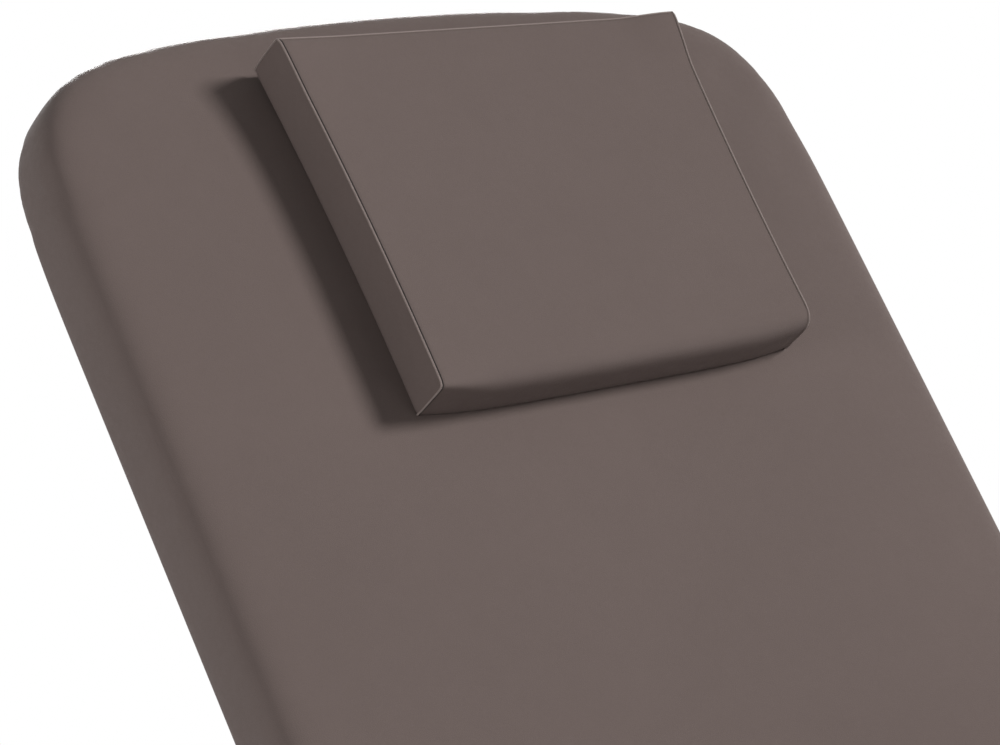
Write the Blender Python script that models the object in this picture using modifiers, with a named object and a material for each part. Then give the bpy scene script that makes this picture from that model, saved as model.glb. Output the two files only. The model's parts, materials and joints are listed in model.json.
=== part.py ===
"""An electric treatment bed: seat, raised backrest and leg rest on a lifting column, with a loose head cushion.

Metres, +Z up, +Y towards the head, +X to the right of someone lying on the bed. The origin is on the floor under
the middle of the whole bed. The bed is shown with its backrest raised.
"""

import math
from dataclasses import dataclass

import bmesh
import bpy
from mathutils import Matrix, Vector

# Clearance between neighbouring pieces, and how far a cutter overruns what it cuts
GAP = 0.0003
OVERRUN = 0.004

# How the bed stands
BACK_ANGLE = math.radians(50)
BACK_TOP_ANGLE = math.radians(72)
LEG_ANGLE = math.radians(0)
LEG_LOW_ANGLE = math.radians(60)
RAISED = 0.090

# Padded sections
PAD_WIDTH = 0.640
PAD_THICKNESS = 0.062
PAD_CROWN = 0.006
CROWN_REACH = 0.170
EDGE_ROLL = 0.031
UNDER_ROLL = 0.008
COVER_WALL = 0.0025
COVER_TURN_IN = 0.034
BOARD_THICKNESS = 0.015
BACK_LENGTH = 0.820
SEAT_LENGTH = 0.500
LEG_LENGTH = 0.500
BACK_GAP = 0.020
LEG_GAP = 0.012
HINGE_CORNER = 0.034
HEAD_CORNER_WIDTH = 0.268
HEAD_CORNER_LENGTH = 0.300
HEAD_CORNER_POWER = 6.6
HEAD_BOW = 0.022
TOE_CORNER_WIDTH = 0.130
TOE_CORNER_LENGTH = 0.120
TOE_CORNER_POWER = 3.0
TOE_BOW = 0.010
LEAST_CORNER = 0.004

# Head cushion
CUSHION_WIDTH = 0.341
CUSHION_LENGTH = 0.270
CUSHION_FOOT_NARROWING = 0.015
CUSHION_THICKNESS = 0.032
CUSHION_CROWN = 0.009
CUSHION_CROWN_REACH = 0.090
CUSHION_ROLL = 0.009
CUSHION_UNDER_ROLL = 0.005
CUSHION_CORNER = 0.014
CUSHION_DRAW_IN = 0.003
CUSHION_WALL = 0.0018
CUSHION_TURN_IN = 0.022
CUSHION_BASE_THICKNESS = 0.005
CUSHION_OFFSET = 0.027
CUSHION_FROM_HEAD = 0.053
TAPE_WIDTH = 0.180
TAPE_LENGTH = 0.040
TAPE_THICKNESS = 0.0009
TAPE_FROM_TURN_IN = 0.004

# Frame tubes
RAIL_WIDTH = 0.025
RAIL_HEIGHT = 0.040
BAR_WIDTH = 0.030
BAR_HEIGHT = 0.030
TUBE_WALL = 0.002
TUBE_CORNER = 0.003
RAIL_SIDE_ROOM = 0.008
BACK_RAIL_SHORT_OF_PAD = 0.140
LEG_RAIL_SHORT_OF_PAD = 0.086
LEVER_BAR_FROM_HINGE = 0.105
BACK_BAR_FROM_RAIL_END = 0.080
LEG_BAR_FROM_RAIL_END = 0.060
SEAT_BAR_INSET = 0.002

# Hinges of the sections
EAR_THICKNESS = 0.006
EAR_RADIUS = 0.0085
EAR_GRIP = 0.030
EAR_SINK = 0.001
HINGE_PIN_RADIUS = 0.005
PIN_HEAD_RIM = 0.0025
PIN_HEAD_THICKNESS = 0.0025

# Drives of the sections: places are from the section's hinge with the section level
DRIVE_FROM_RAIL = 0.0805
BACK_DRIVE_PIVOT = (-0.338, -0.112)
BACK_LEVER_PIN = (0.0005, -0.0880)
BACK_DRIVE_TILT_SHARE = 0.0983
BACK_DRIVE_TRAVEL = 0.0715
LEG_DRIVE_PIVOT = (0.3341, -0.0623)
LEG_LEVER_PIN = (-0.0592, -0.0633)
LEG_DRIVE_TILT_SHARE = 0.0622
LEG_DRIVE_TRAVEL = -0.0784
LEVER_THICKNESS = 0.008
LEVER_RIM = 0.011
LEVER_FOOT_RADIUS = 0.005
DRIVE_PIN_RADIUS = 0.006
ROD_RADIUS = 0.010
FORK_CHEEK = 0.006
FORK_SIDE_ROOM = 0.0005
FORK_HEIGHT = 0.026
FORK_DEPTH = 0.036
FORK_NOSE = 0.013
FORK_NECK = 0.010
ROD_LENGTH = 0.200
DRIVE_TUBE_RADIUS = 0.017
DRIVE_TUBE_ROOM = 0.006
GEARBOX_WIDTH = 0.044
GEARBOX_LENGTH = 0.060
GEARBOX_HEIGHT = 0.090
GEARBOX_ABOVE = 0.020
GEARBOX_CORNER = 0.006
GEARBOX_BACK = 0.014
MOTOR_RADIUS = 0.020
MOTOR_LENGTH = 0.110
BRACKET_THICKNESS = 0.005
BRACKET_RADIUS = 0.013

# Lifting column
COLUMN_SIZE = 0.140
COLUMN_WALL = 0.004
COLUMN_ROOM = 0.003
COLUMN_CORNER = 0.012
COLUMN_HEIGHT = 0.418
OUTER_TUBE_BELOW_HEAD = 0.044
MIDDLE_TUBE_BELOW_HEAD = 0.028
MIDDLE_TUBE_FOOT_ROOM = 0.008
INNER_TUBE_FOOT_ROOM = 0.030
COLLAR_HEIGHT = 0.028
HEAD_PLATE_WIDTH = 0.190
HEAD_PLATE_LENGTH = 0.190
HEAD_PLATE_THICKNESS = 0.008
LIFT_MOTOR_SIZE = 0.080
LIFT_MOTOR_HEIGHT = 0.058
LIFT_MOTOR_CORNER = 0.010
SPINDLE_RADIUS = 0.008
SPINDLE_BELOW_HEAD = 0.015
PUSH_TUBE_RADIUS = 0.016
PUSH_TUBE_WALL = 0.003
SPINDLE_NUT_HEIGHT = 0.020

# Base
BASE_WIDTH = 0.560
BASE_LENGTH = 0.920
BASE_THICKNESS = 0.012
BASE_CORNER = 0.060
FOOT_RADIUS = 0.026
FOOT_HEIGHT = 0.014
FOOT_DRAFT = 0.004
FOOT_INSET = 0.062
BASE_COVER_WIDTH = 0.320
BASE_COVER_LENGTH = 0.420
BASE_COVER_HEIGHT = 0.054
BASE_COVER_WALL = 0.003
BASE_COVER_CORNER = 0.040
BASE_COVER_EDGE = 0.010
BASE_COVER_COLUMN_ROOM = 0.0008

# Controls
CONTROL_UNIT_WIDTH = 0.170
CONTROL_UNIT_LENGTH = 0.090
CONTROL_UNIT_HEIGHT = 0.048
CONTROL_UNIT_CORNER = 0.008
CONTROL_UNIT_FROM_HEAD_PLATE = 0.008
INLET_WIDTH = 0.030
INLET_HEIGHT = 0.022
INLET_DEPTH = 0.024
INLET_RIM = 0.0028
INLET_RECESS = 0.017
INLET_PIN_WIDTH = 0.002
INLET_PIN_HEIGHT = 0.004
INLET_PIN_LENGTH = 0.009
INLET_PIN_SPACING = 0.007
INLET_PIN_DROP = 0.003
PEDAL_UNIT_WIDTH = 0.078
PEDAL_UNIT_PAST_CHEEK = 0.0158
PEDAL_UNIT_HEIGHT = 0.030
PEDAL_UNIT_CORNER = 0.010
PEDAL_UNIT_FROM_EDGE = 0.012
PEDAL_COUNT = 3
PEDAL_WIDTH = 0.066
PEDAL_LENGTH = 0.086
PEDAL_THICKNESS = 0.006
PEDAL_CORNER = 0.006
PEDAL_SIDE_GAP = 0.008
PEDAL_BOSS_RADIUS = 0.0075
PEDAL_SHAFT_RADIUS = 0.004
PEDAL_SHAFT_HEIGHT = 0.014
CHEEK_THICKNESS = 0.005
CHEEK_SIDE_ROOM = 0.0012

# Fineness of the round shapes
ROUND_STEPS = 24
PIN_STEPS = 16
CORNER_STEPS = 4
FAR_CORNER_STEPS = 9
NEAR_CORNER_STEPS = 3
ROLL_STEPS = 4
UNDER_STEPS = 2
CROWN_STEPS = 2
CUSHION_SIDE_STEPS = 6
LOCUS_STEPS = 8

# Derived places, with the lift at its lowest
BASE_BOTTOM = FOOT_HEIGHT + GAP
BASE_TOP = BASE_BOTTOM + BASE_THICKNESS
HEAD_PLATE_BOTTOM = BASE_TOP + COLUMN_HEIGHT
BAR_BOTTOM = HEAD_PLATE_BOTTOM + HEAD_PLATE_THICKNESS + GAP
FRAME_TOP = BAR_BOTTOM + BAR_HEIGHT
SEAT_UNDERSIDE = FRAME_TOP - COVER_WALL
RAIL_OFFSET = PAD_WIDTH / 2 - COVER_TURN_IN - RAIL_SIDE_ROOM - RAIL_WIDTH / 2
EAR_SHIFT = EAR_THICKNESS / 2 + GAP
BACK_HINGE = (SEAT_LENGTH / 2 + BACK_GAP / 2, SEAT_UNDERSIDE + PAD_THICKNESS / 2)
LEG_HINGE = (-SEAT_LENGTH / 2 - LEG_GAP / 2, FRAME_TOP - RAIL_HEIGHT / 2)
BACK_FRAME_TOP = COVER_WALL - PAD_THICKNESS / 2
LEG_FRAME_TOP = RAIL_HEIGHT / 2
PAD_TOP = PAD_THICKNESS + PAD_CROWN
DRIVE_OFFSET = RAIL_OFFSET - DRIVE_FROM_RAIL
SEAT_BAR_OFFSET = HEAD_PLATE_LENGTH / 2 - BAR_WIDTH / 2 - SEAT_BAR_INSET
BACK_RAIL_END = BACK_GAP / 2 + BACK_LENGTH - BACK_RAIL_SHORT_OF_PAD
LEG_RAIL_END = LEG_GAP / 2 + LEG_LENGTH - LEG_RAIL_SHORT_OF_PAD
PEDAL_SPACING = PEDAL_LENGTH + PEDAL_SIDE_GAP
PEDAL_SPAN = PEDAL_SPACING * (PEDAL_COUNT - 1) + PEDAL_LENGTH
PEDAL_UNIT_LENGTH = PEDAL_SPAN + 2 * (CHEEK_SIDE_ROOM + CHEEK_THICKNESS + PEDAL_UNIT_PAST_CHEEK)


@dataclass(frozen=True)
class Outline:
    """A pad's outline: hinge end at y 0 with small corners, far end with large ones and a slight bow."""

    width: float
    length: float
    near_corner: float
    far_corner_width: float
    far_corner_length: float
    far_power: float
    bow: float


@dataclass(frozen=True)
class Drive:
    """A linear actuator between the seat frame and the lever of a section, with places from the section's hinge."""

    pivot: tuple
    pin: tuple
    tilt_share: float
    travel: float
    stop_angle: float

    @property
    def closed_length(self):
        return math.hypot(self.pin[0] - self.pivot[0], self.pin[1] - self.pivot[1])

    @property
    def level_angle(self):
        return math.atan2(self.pin[1] - self.pivot[1], self.pin[0] - self.pivot[0])

    def length_at(self, turn):
        return self.closed_length + self.travel * turn

    def angle_at(self, turn):
        return self.level_angle + self.tilt_share * turn

    def shortest(self):
        return min(self.length_at(0), self.length_at(self.stop_angle))

    def pin_in_lever(self, turn):
        """Where the rod's pin lies in the lever, once the section has turned this far from level."""
        length, angle = self.length_at(turn), self.angle_at(turn)
        y = self.pivot[0] + length * math.cos(angle)
        z = self.pivot[1] + length * math.sin(angle)
        return (
            y * math.cos(turn) + z * math.sin(turn),
            z * math.cos(turn) - y * math.sin(turn),
        )

    def pin_path(self):
        """The places that the pin takes in the lever, which its slot has to hold."""
        return [self.pin_in_lever(self.stop_angle * k / LOCUS_STEPS) for k in range(LOCUS_STEPS + 1)]


BACK_OUTLINE = Outline(
    PAD_WIDTH, BACK_LENGTH, HINGE_CORNER, HEAD_CORNER_WIDTH, HEAD_CORNER_LENGTH, HEAD_CORNER_POWER, HEAD_BOW
)
SEAT_OUTLINE = Outline(PAD_WIDTH, SEAT_LENGTH, HINGE_CORNER, HINGE_CORNER, HINGE_CORNER, 2, 0)
LEG_OUTLINE = Outline(
    PAD_WIDTH, LEG_LENGTH, HINGE_CORNER, TOE_CORNER_WIDTH, TOE_CORNER_LENGTH, TOE_CORNER_POWER, TOE_BOW
)
BACK_DRIVE = Drive(
    BACK_DRIVE_PIVOT, BACK_LEVER_PIN, BACK_DRIVE_TILT_SHARE, BACK_DRIVE_TRAVEL, BACK_TOP_ANGLE
)
LEG_DRIVE = Drive(LEG_DRIVE_PIVOT, LEG_LEVER_PIN, LEG_DRIVE_TILT_SHARE, LEG_DRIVE_TRAVEL, LEG_LOW_ANGLE)

FINISHES = {
    "leather": ((0.145, 0.118, 0.108, 1), 0.48, 0.0),
    "foam": ((0.80, 0.76, 0.62, 1), 0.95, 0.0),
    "plywood": ((0.58, 0.42, 0.26, 1), 0.75, 0.0),
    "hook_tape": ((0.03, 0.03, 0.03, 1), 0.9, 0.0),
    "frame_paint": ((0.62, 0.63, 0.64, 1), 0.4, 0.3),
    "column_paint": ((0.74, 0.75, 0.76, 1), 0.38, 0.3),
    "zinc": ((0.55, 0.56, 0.57, 1), 0.35, 0.9),
    "rod_steel": ((0.70, 0.70, 0.71, 1), 0.2, 1.0),
    "black_plastic": ((0.03, 0.03, 0.032, 1), 0.5, 0.0),
    "grey_plastic": ((0.32, 0.33, 0.34, 1), 0.5, 0.0),
    "rubber": ((0.02, 0.02, 0.02, 1), 0.85, 0.0),
}


def clear_scene():
    for obj in list(bpy.data.objects):
        bpy.data.objects.remove(obj, do_unlink=True)


def new_collection(name):
    collection = bpy.data.collections.new(name)
    bpy.context.scene.collection.children.link(collection)
    return collection


def finish(name):
    """The Principled material of this name."""
    if name in bpy.data.materials:
        return bpy.data.materials[name]
    colour, roughness, metallic = FINISHES[name]
    material = bpy.data.materials.new(name)
    material.use_nodes = True
    shader = material.node_tree.nodes["Principled BSDF"]
    shader.inputs["Base Color"].default_value = colour
    shader.inputs["Roughness"].default_value = roughness
    shader.inputs["Metallic"].default_value = metallic
    material.diffuse_color = colour
    return material


def frame_at(name, parent, place, tilt=0.0):
    """An empty on a joint's axis, which the pieces that move together have as their parent."""
    empty = bpy.data.objects.new(name, None)
    bpy.data.collections["treatment_bed"].objects.link(empty)
    empty.parent = parent
    empty.location = place
    empty.rotation_euler = (tilt, 0, 0)
    return empty


def piece(name, bm, material, parent, place=(0, 0, 0), smooth=35):
    """One sub-part from a finished bmesh, under the empty that carries it."""
    bmesh.ops.recalc_face_normals(bm, faces=bm.faces)
    mesh = bpy.data.meshes.new(name)
    bm.to_mesh(mesh)
    bm.free()
    mesh.shade_smooth()
    mesh.set_sharp_from_angle(angle=math.radians(smooth))
    mesh.materials.append(finish(material))
    obj = bpy.data.objects.new(name, mesh)
    bpy.data.collections["treatment_bed"].objects.link(obj)
    obj.parent = parent
    obj.location = place
    return obj


def helper(obj):
    """Turns a piece into a guide that is only added to or cut from another one."""
    bpy.data.collections["treatment_bed"].objects.unlink(obj)
    bpy.data.collections["cutters"].objects.link(obj)
    obj.hide_render = True
    obj.display_type = "WIRE"
    return obj


def combine(obj, other, operation):
    modifier = obj.modifiers.new(f"{operation.lower()} {other.name}", "BOOLEAN")
    modifier.operation = operation
    modifier.object = helper(other)
    modifier.solver = "EXACT"
    return obj


def add(obj, other):
    return combine(obj, other, "UNION")


def cut(obj, other):
    return combine(obj, other, "DIFFERENCE")


def box_bm(size, centre=(0, 0, 0), corner=0.0, along="Z"):
    """A box with its four edges along one direction rounded."""
    bm = bmesh.new()
    bmesh.ops.create_cube(bm, size=1)
    bmesh.ops.scale(bm, vec=size, verts=bm.verts)
    if corner:
        axis = "XYZ".index(along)
        edges = [e for e in bm.edges if abs((e.verts[0].co - e.verts[1].co)[axis]) > size[axis] / 2]
        bmesh.ops.bevel(
            bm, geom=edges, offset=corner, offset_type="OFFSET", segments=CORNER_STEPS,
            profile=0.5, affect="EDGES", material=-1,
        )
    bmesh.ops.translate(bm, vec=centre, verts=bm.verts)
    return bm


def turned(axis):
    """The turn that brings +Z onto this axis."""
    return {
        "X": Matrix.Rotation(math.pi / 2, 4, "Y"),
        "Y": Matrix.Rotation(-math.pi / 2, 4, "X"),
        "Z": Matrix.Identity(4),
    }[axis]


def rod_bm(radius, length, centre=(0, 0, 0), axis="Z", tip_radius=None, steps=PIN_STEPS):
    """A cylinder or cone centred on a point."""
    bm = bmesh.new()
    bmesh.ops.create_cone(
        bm, cap_ends=True, segments=steps, radius1=radius,
        radius2=radius if tip_radius is None else tip_radius, depth=length,
    )
    bmesh.ops.transform(bm, matrix=Matrix.Translation(Vector(centre)) @ turned(axis), verts=bm.verts)
    return bm


def pin_bm(radius, grip, centre=(0, 0, 0), head_radius=None):
    """A pin across the bed, turned from its profile, with a head at each end of its grip."""
    head_radius = head_radius or radius + PIN_HEAD_RIM
    half, tip = grip / 2, grip / 2 + PIN_HEAD_THICKNESS
    profile = [(-tip, 0), (-tip, head_radius), (-half, head_radius), (-half, radius)]
    profile += [(-along, out) for along, out in reversed(profile)]
    bm = bmesh.new()
    verts = [bm.verts.new((along, out, 0)) for along, out in profile]
    edges = [bm.edges.new(pair) for pair in zip(verts, verts[1:])]
    bmesh.ops.spin(
        bm, geom=verts + edges, cent=(0, 0, 0), axis=(1, 0, 0), angle=math.tau, steps=PIN_STEPS,
        use_merge=True, use_duplicate=False,
    )
    bmesh.ops.remove_doubles(bm, verts=bm.verts, dist=GAP / 10)
    bmesh.ops.translate(bm, vec=centre, verts=bm.verts)
    return bm


def tube(name, width, height, length, axis, material, parent, place, wall=TUBE_WALL, corner=TUBE_CORNER):
    """A rectangular tube, open at both ends. Its width is across the bed, or along it for a cross bar."""
    sizes = {"X": (length, width, height), "Y": (width, length, height), "Z": (width, height, length)}[axis]
    index = "XYZ".index(axis)
    bm = box_bm(sizes, corner=corner, along=axis)
    ends = [f for f in bm.faces if abs(f.normal[index]) > 1 - GAP]
    bmesh.ops.delete(bm, geom=ends, context="FACES_ONLY")
    obj = piece(name, bm, material, parent, place)
    solidify = obj.modifiers.new("wall", "SOLIDIFY")
    solidify.thickness = wall
    solidify.offset = -1
    solidify.use_even_offset = True
    return obj


def plate_bm(outline, thickness, x):
    """A flat plate across the bed's width, from the (y, z) points of its outline."""
    bm = bmesh.new()
    verts = [bm.verts.new((x - thickness / 2, y, z)) for y, z in outline]
    face = bm.faces.new(verts)
    grown = bmesh.ops.extrude_face_region(bm, geom=[face])
    moved = [v for v in grown["geom"] if isinstance(v, bmesh.types.BMVert)]
    bmesh.ops.translate(bm, vec=(thickness, 0, 0), verts=moved)
    return bm


def link_bm(discs, thickness, x):
    """The plate that a tight band round these (y, z, radius) discs encloses."""
    bm = bmesh.new()
    for y, z, radius in discs:
        place = Matrix.Translation((x, y, z)) @ turned("X")
        bmesh.ops.create_cone(
            bm, cap_ends=False, segments=PIN_STEPS, radius1=radius, radius2=radius,
            depth=thickness, matrix=place,
        )
    bmesh.ops.delete(bm, geom=list(bm.edges) + list(bm.faces), context="EDGES_FACES")
    hull = bmesh.ops.convex_hull(bm, input=bm.verts)
    inside = {v for v in hull["geom_interior"] + hull["geom_unused"] if isinstance(v, bmesh.types.BMVert)}
    bmesh.ops.delete(bm, geom=list(inside), context="VERTS")
    return bm


def arc(centre, radius, start, end, steps=CORNER_STEPS * 2):
    """Points of a circular arc, from one angle to another."""
    return [
        (
            centre[0] + radius * math.cos(start + (end - start) * k / steps),
            centre[1] + radius * math.sin(start + (end - start) * k / steps),
        )
        for k in range(steps + 1)
    ]


def loft_bm(rings, place=(0, 0, 0)):
    """A closed skin over rings of equal counts, with its first and last ring closed."""
    bm = bmesh.new()
    loops = [[bm.verts.new(Vector(point) + Vector(place)) for point in ring] for ring in rings]
    for a, b in zip(loops, loops[1:]):
        for k in range(len(a)):
            m = (k + 1) % len(a)
            bm.faces.new((a[k], a[m], b[m], b[k]))
    bm.faces.new(loops[0])
    bm.faces.new(loops[-1])
    return bm


def pad_ring(outline, inset, height):
    """The pad's outline drawn in by an inset, at one height."""
    half = outline.width / 2 - inset
    near = max(outline.near_corner - inset, LEAST_CORNER)
    reach_x = max(outline.far_corner_width - inset, LEAST_CORNER)
    reach_y = max(outline.far_corner_length - inset, LEAST_CORNER)
    right = []
    for k in range(NEAR_CORNER_STEPS + 1):
        angle = math.pi / 2 * (k / NEAR_CORNER_STEPS - 1)
        right.append((half - near + near * math.cos(angle), inset + near + near * math.sin(angle)))
    for k in range(FAR_CORNER_STEPS + 1):
        angle = math.pi / 2 * k / FAR_CORNER_STEPS
        across = max(math.cos(angle), 0) ** (2 / outline.far_power)
        along = math.sin(angle) ** (2 / outline.far_power)
        x = half - reach_x + reach_x * across
        y = outline.length - inset - reach_y + reach_y * along
        right.append((x, y - outline.bow * (x / half) ** 2 * along))
    crown_point = [(0, outline.length - inset)]
    left = [(-x, y) for x, y in reversed(right)]
    return [(x, y, height) for x, y in right + crown_point + left]


def pad_profile(skin):
    """(inset, height) rows from the pad's crown round its edge to its underside, this deep inside the leather."""
    rows = []
    for k in range(CROWN_STEPS):
        share = 1 - k / CROWN_STEPS
        rise = PAD_CROWN * (1 - (1 - share) ** 2)
        rows.append((EDGE_ROLL + share * (CROWN_REACH - EDGE_ROLL), PAD_THICKNESS - skin + rise))
    for k in range(ROLL_STEPS + 1):
        angle = math.pi / 2 * (1 - k / ROLL_STEPS)
        radius = EDGE_ROLL - skin
        rows.append((EDGE_ROLL - radius * math.cos(angle), PAD_THICKNESS - EDGE_ROLL + radius * math.sin(angle)))
    for k in range(UNDER_STEPS + 1):
        angle = -math.pi / 2 * k / UNDER_STEPS
        radius = UNDER_ROLL - skin
        rows.append((UNDER_ROLL - radius * math.cos(angle), UNDER_ROLL + radius * math.sin(angle)))
    return rows


def padded_section(section, outline, parent, place, turn=0.0):
    """The leather cover, the foam core and the board of one section."""
    board_bottom = COVER_WALL + GAP
    foam_bottom = board_bottom + BOARD_THICKNESS + GAP
    board_inset = UNDER_ROLL + GAP
    outer, inner = pad_profile(0), pad_profile(COVER_WALL)
    cover_rows = outer + [(COVER_TURN_IN, 0), (COVER_TURN_IN, COVER_WALL)] + inner[::-1]
    core = pad_profile(COVER_WALL + GAP)
    foam_rows = [row for row in core if row[1] > foam_bottom] + [(COVER_WALL + GAP, foam_bottom)]
    board_rows = [(board_inset, board_bottom), (board_inset, board_bottom + BOARD_THICKNESS)]
    layers = (("cover", "leather", cover_rows), ("foam", "foam", foam_rows), ("board", "plywood", board_rows))
    for layer, material, rows in layers:
        bm = loft_bm([pad_ring(outline, inset, height) for inset, height in rows])
        bmesh.ops.rotate(bm, verts=bm.verts, matrix=Matrix.Rotation(turn, 3, "Z"))
        piece(f"{section}_{layer}", bm, material, parent, place, smooth=50)


def cushion_ring(inset, height):
    """The head cushion's outline drawn in by an inset: narrower to the foot, its sides drawn in between corners."""
    head = CUSHION_WIDTH / 2 - inset
    foot = head - CUSHION_FOOT_NARROWING / 2
    half = CUSHION_LENGTH / 2 - inset
    corners = [Vector((foot, -half)), Vector((head, half)), Vector((-head, half)), Vector((-foot, -half))]
    round_off = max(CUSHION_CORNER - inset, LEAST_CORNER)
    points = []
    for k, here in enumerate(corners):
        after, before = corners[(k + 1) % len(corners)], corners[k - 1]
        start = here + (before - here).normalized() * round_off
        end = here + (after - here).normalized() * round_off
        points += [start, (start + 2 * here + end) / 4, end]
        far = after + (here - after).normalized() * round_off
        inward = Vector((0, 0)) - (here + after) / 2
        for step in range(1, CUSHION_SIDE_STEPS):
            share = step / CUSHION_SIDE_STEPS
            pull = CUSHION_DRAW_IN * (1 - (2 * share - 1) ** 2)
            points.append(end.lerp(far, share) + inward.normalized() * pull)
    return [(p.x, p.y, height) for p in points]


def cushion_profile(skin):
    """(inset, height) rows from the cushion's crown to its underside, this deep inside the leather."""
    rows = []
    for k in range(CROWN_STEPS):
        share = 1 - k / CROWN_STEPS
        rise = CUSHION_CROWN * (1 - (1 - share) ** 2)
        rows.append((CUSHION_ROLL + share * (CUSHION_CROWN_REACH - CUSHION_ROLL), CUSHION_THICKNESS - skin + rise))
    for k in range(CROWN_STEPS + 1):
        angle = math.pi / 2 * (1 - k / CROWN_STEPS)
        radius = CUSHION_ROLL - skin
        rows.append(
            (CUSHION_ROLL - radius * math.cos(angle), CUSHION_THICKNESS - CUSHION_ROLL + radius * math.sin(angle))
        )
    for k in range(UNDER_STEPS + 1):
        angle = -math.pi / 2 * k / UNDER_STEPS
        radius = CUSHION_UNDER_ROLL - skin
        rows.append(
            (CUSHION_UNDER_ROLL - radius * math.cos(angle), CUSHION_UNDER_ROLL + radius * math.sin(angle))
        )
    return rows


def head_cushion(back):
    """The lift-off cushion, and the strip that holds it on the backrest."""
    loop_bottom = PAD_TOP + GAP
    hook_bottom = loop_bottom + TAPE_THICKNESS + GAP
    cushion_bottom = hook_bottom + TAPE_THICKNESS + GAP
    centre_y = BACK_GAP / 2 + BACK_LENGTH - CUSHION_FROM_HEAD - CUSHION_LENGTH / 2
    place = (CUSHION_OFFSET, centre_y, cushion_bottom - PAD_THICKNESS / 2)
    cushion = frame_at("head_cushion", back, place)
    base_bottom = CUSHION_WALL + GAP
    foam_bottom = base_bottom + CUSHION_BASE_THICKNESS + GAP
    base_inset = CUSHION_UNDER_ROLL + GAP
    outer, inner = cushion_profile(0), cushion_profile(CUSHION_WALL)
    turn_in = [(CUSHION_TURN_IN, 0), (CUSHION_TURN_IN, CUSHION_WALL)]
    core = cushion_profile(CUSHION_WALL + GAP)
    layers = (
        ("cover", "leather", outer + turn_in + inner[::-1]),
        ("foam", "foam", [r for r in core if r[1] > foam_bottom] + [(CUSHION_WALL + GAP, foam_bottom)]),
        ("base", "plywood", [(base_inset, base_bottom), (base_inset, base_bottom + CUSHION_BASE_THICKNESS)]),
    )
    for layer, material, rows in layers:
        bm = loft_bm([cushion_ring(inset, height) for inset, height in rows])
        piece(f"head_cushion_{layer}", bm, material, cushion, smooth=50)
    tape_y = CUSHION_TURN_IN + TAPE_FROM_TURN_IN + TAPE_LENGTH / 2 - CUSHION_LENGTH / 2
    tape = (TAPE_WIDTH, TAPE_LENGTH, TAPE_THICKNESS)
    hook_z = hook_bottom - cushion_bottom + TAPE_THICKNESS / 2
    fill = cushion_bottom + CUSHION_WALL - GAP - hook_bottom
    hook = box_bm((TAPE_WIDTH, TAPE_LENGTH, fill), (0, tape_y, hook_z + (fill - TAPE_THICKNESS) / 2))
    piece("cushion_hook_tape", hook, "hook_tape", cushion)
    loop_place = (CUSHION_OFFSET, centre_y + tape_y, loop_bottom + TAPE_THICKNESS / 2 - PAD_THICKNESS / 2)
    piece("pad_loop_tape", box_bm(tape), "hook_tape", back, loop_place)
    return cushion


def hinge_ear(direction, neck, top, bottom, drop_to_rail):
    """The plate from a rail's end to the hinge pin, as (y, z) points from the pin."""
    rail_start = neck + COVER_TURN_IN + GAP
    foot_end = rail_start + EAR_GRIP
    low, high = bottom + EAR_SINK, top - EAR_SINK
    if drop_to_rail:
        neck_top = top - COVER_WALL - GAP
        points = arc((0, 0), EAR_RADIUS, 0, math.pi)
        points += [(-EAR_RADIUS, low), (foot_end, low), (foot_end, high), (rail_start, high)]
        points += [(rail_start, neck_top), (EAR_RADIUS, neck_top)]
    else:
        points = arc((0, 0), EAR_RADIUS, math.pi / 2, math.pi * 3 / 2)
        points += [(rail_start, -EAR_RADIUS), (rail_start, low), (foot_end, low), (foot_end, high)]
        points += [(rail_start, high), (rail_start, EAR_RADIUS)]
    return [(direction * y, z) for y, z in points]


def pin_hole(radius, x, y, z, length):
    """A cutter for a hole across the bed."""
    return piece("hole", rod_bm(radius, length, (x, y, z), "X"), "zinc", None)


def drilled(obj, radius, x, y, z, length):
    cutter = pin_hole(radius, x, y, z, length)
    cutter.parent = obj.parent
    return cut(obj, cutter)


def hinge_pin(name, side, parent, y, z):
    """The pin through the two ears of a hinge."""
    grip = EAR_SHIFT * 2 + EAR_THICKNESS + 2 * GAP
    return piece(name, pin_bm(HINGE_PIN_RADIUS, grip, (side * RAIL_OFFSET, y, z)), "zinc", parent)


def rail(name, side, parent, start, end, top, ears):
    """A side rail along the bed from one y to another, with its hinge ears welded in."""
    place = (side * RAIL_OFFSET, (start + end) / 2, top - RAIL_HEIGHT / 2)
    obj = tube(name, RAIL_WIDTH, RAIL_HEIGHT, abs(end - start), "Y", "frame_paint", parent, place)
    for y, z, shift, outline in ears:
        x = side * (RAIL_OFFSET + shift)
        points = [(y + py, z + pz) for py, pz in outline]
        add(obj, piece("ear", plate_bm(points, EAR_THICKNESS, x), "frame_paint", parent))
        drilled(obj, HINGE_PIN_RADIUS + GAP, x, y, z, EAR_THICKNESS + OVERRUN)
    return obj


def cross_bar(name, parent, y, top):
    """A bar between the two rails."""
    length = 2 * (RAIL_OFFSET - RAIL_WIDTH / 2 - GAP)
    return tube(name, BAR_WIDTH, BAR_HEIGHT, length, "X", "frame_paint", parent, (0, y, top - BAR_HEIGHT / 2))


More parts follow.
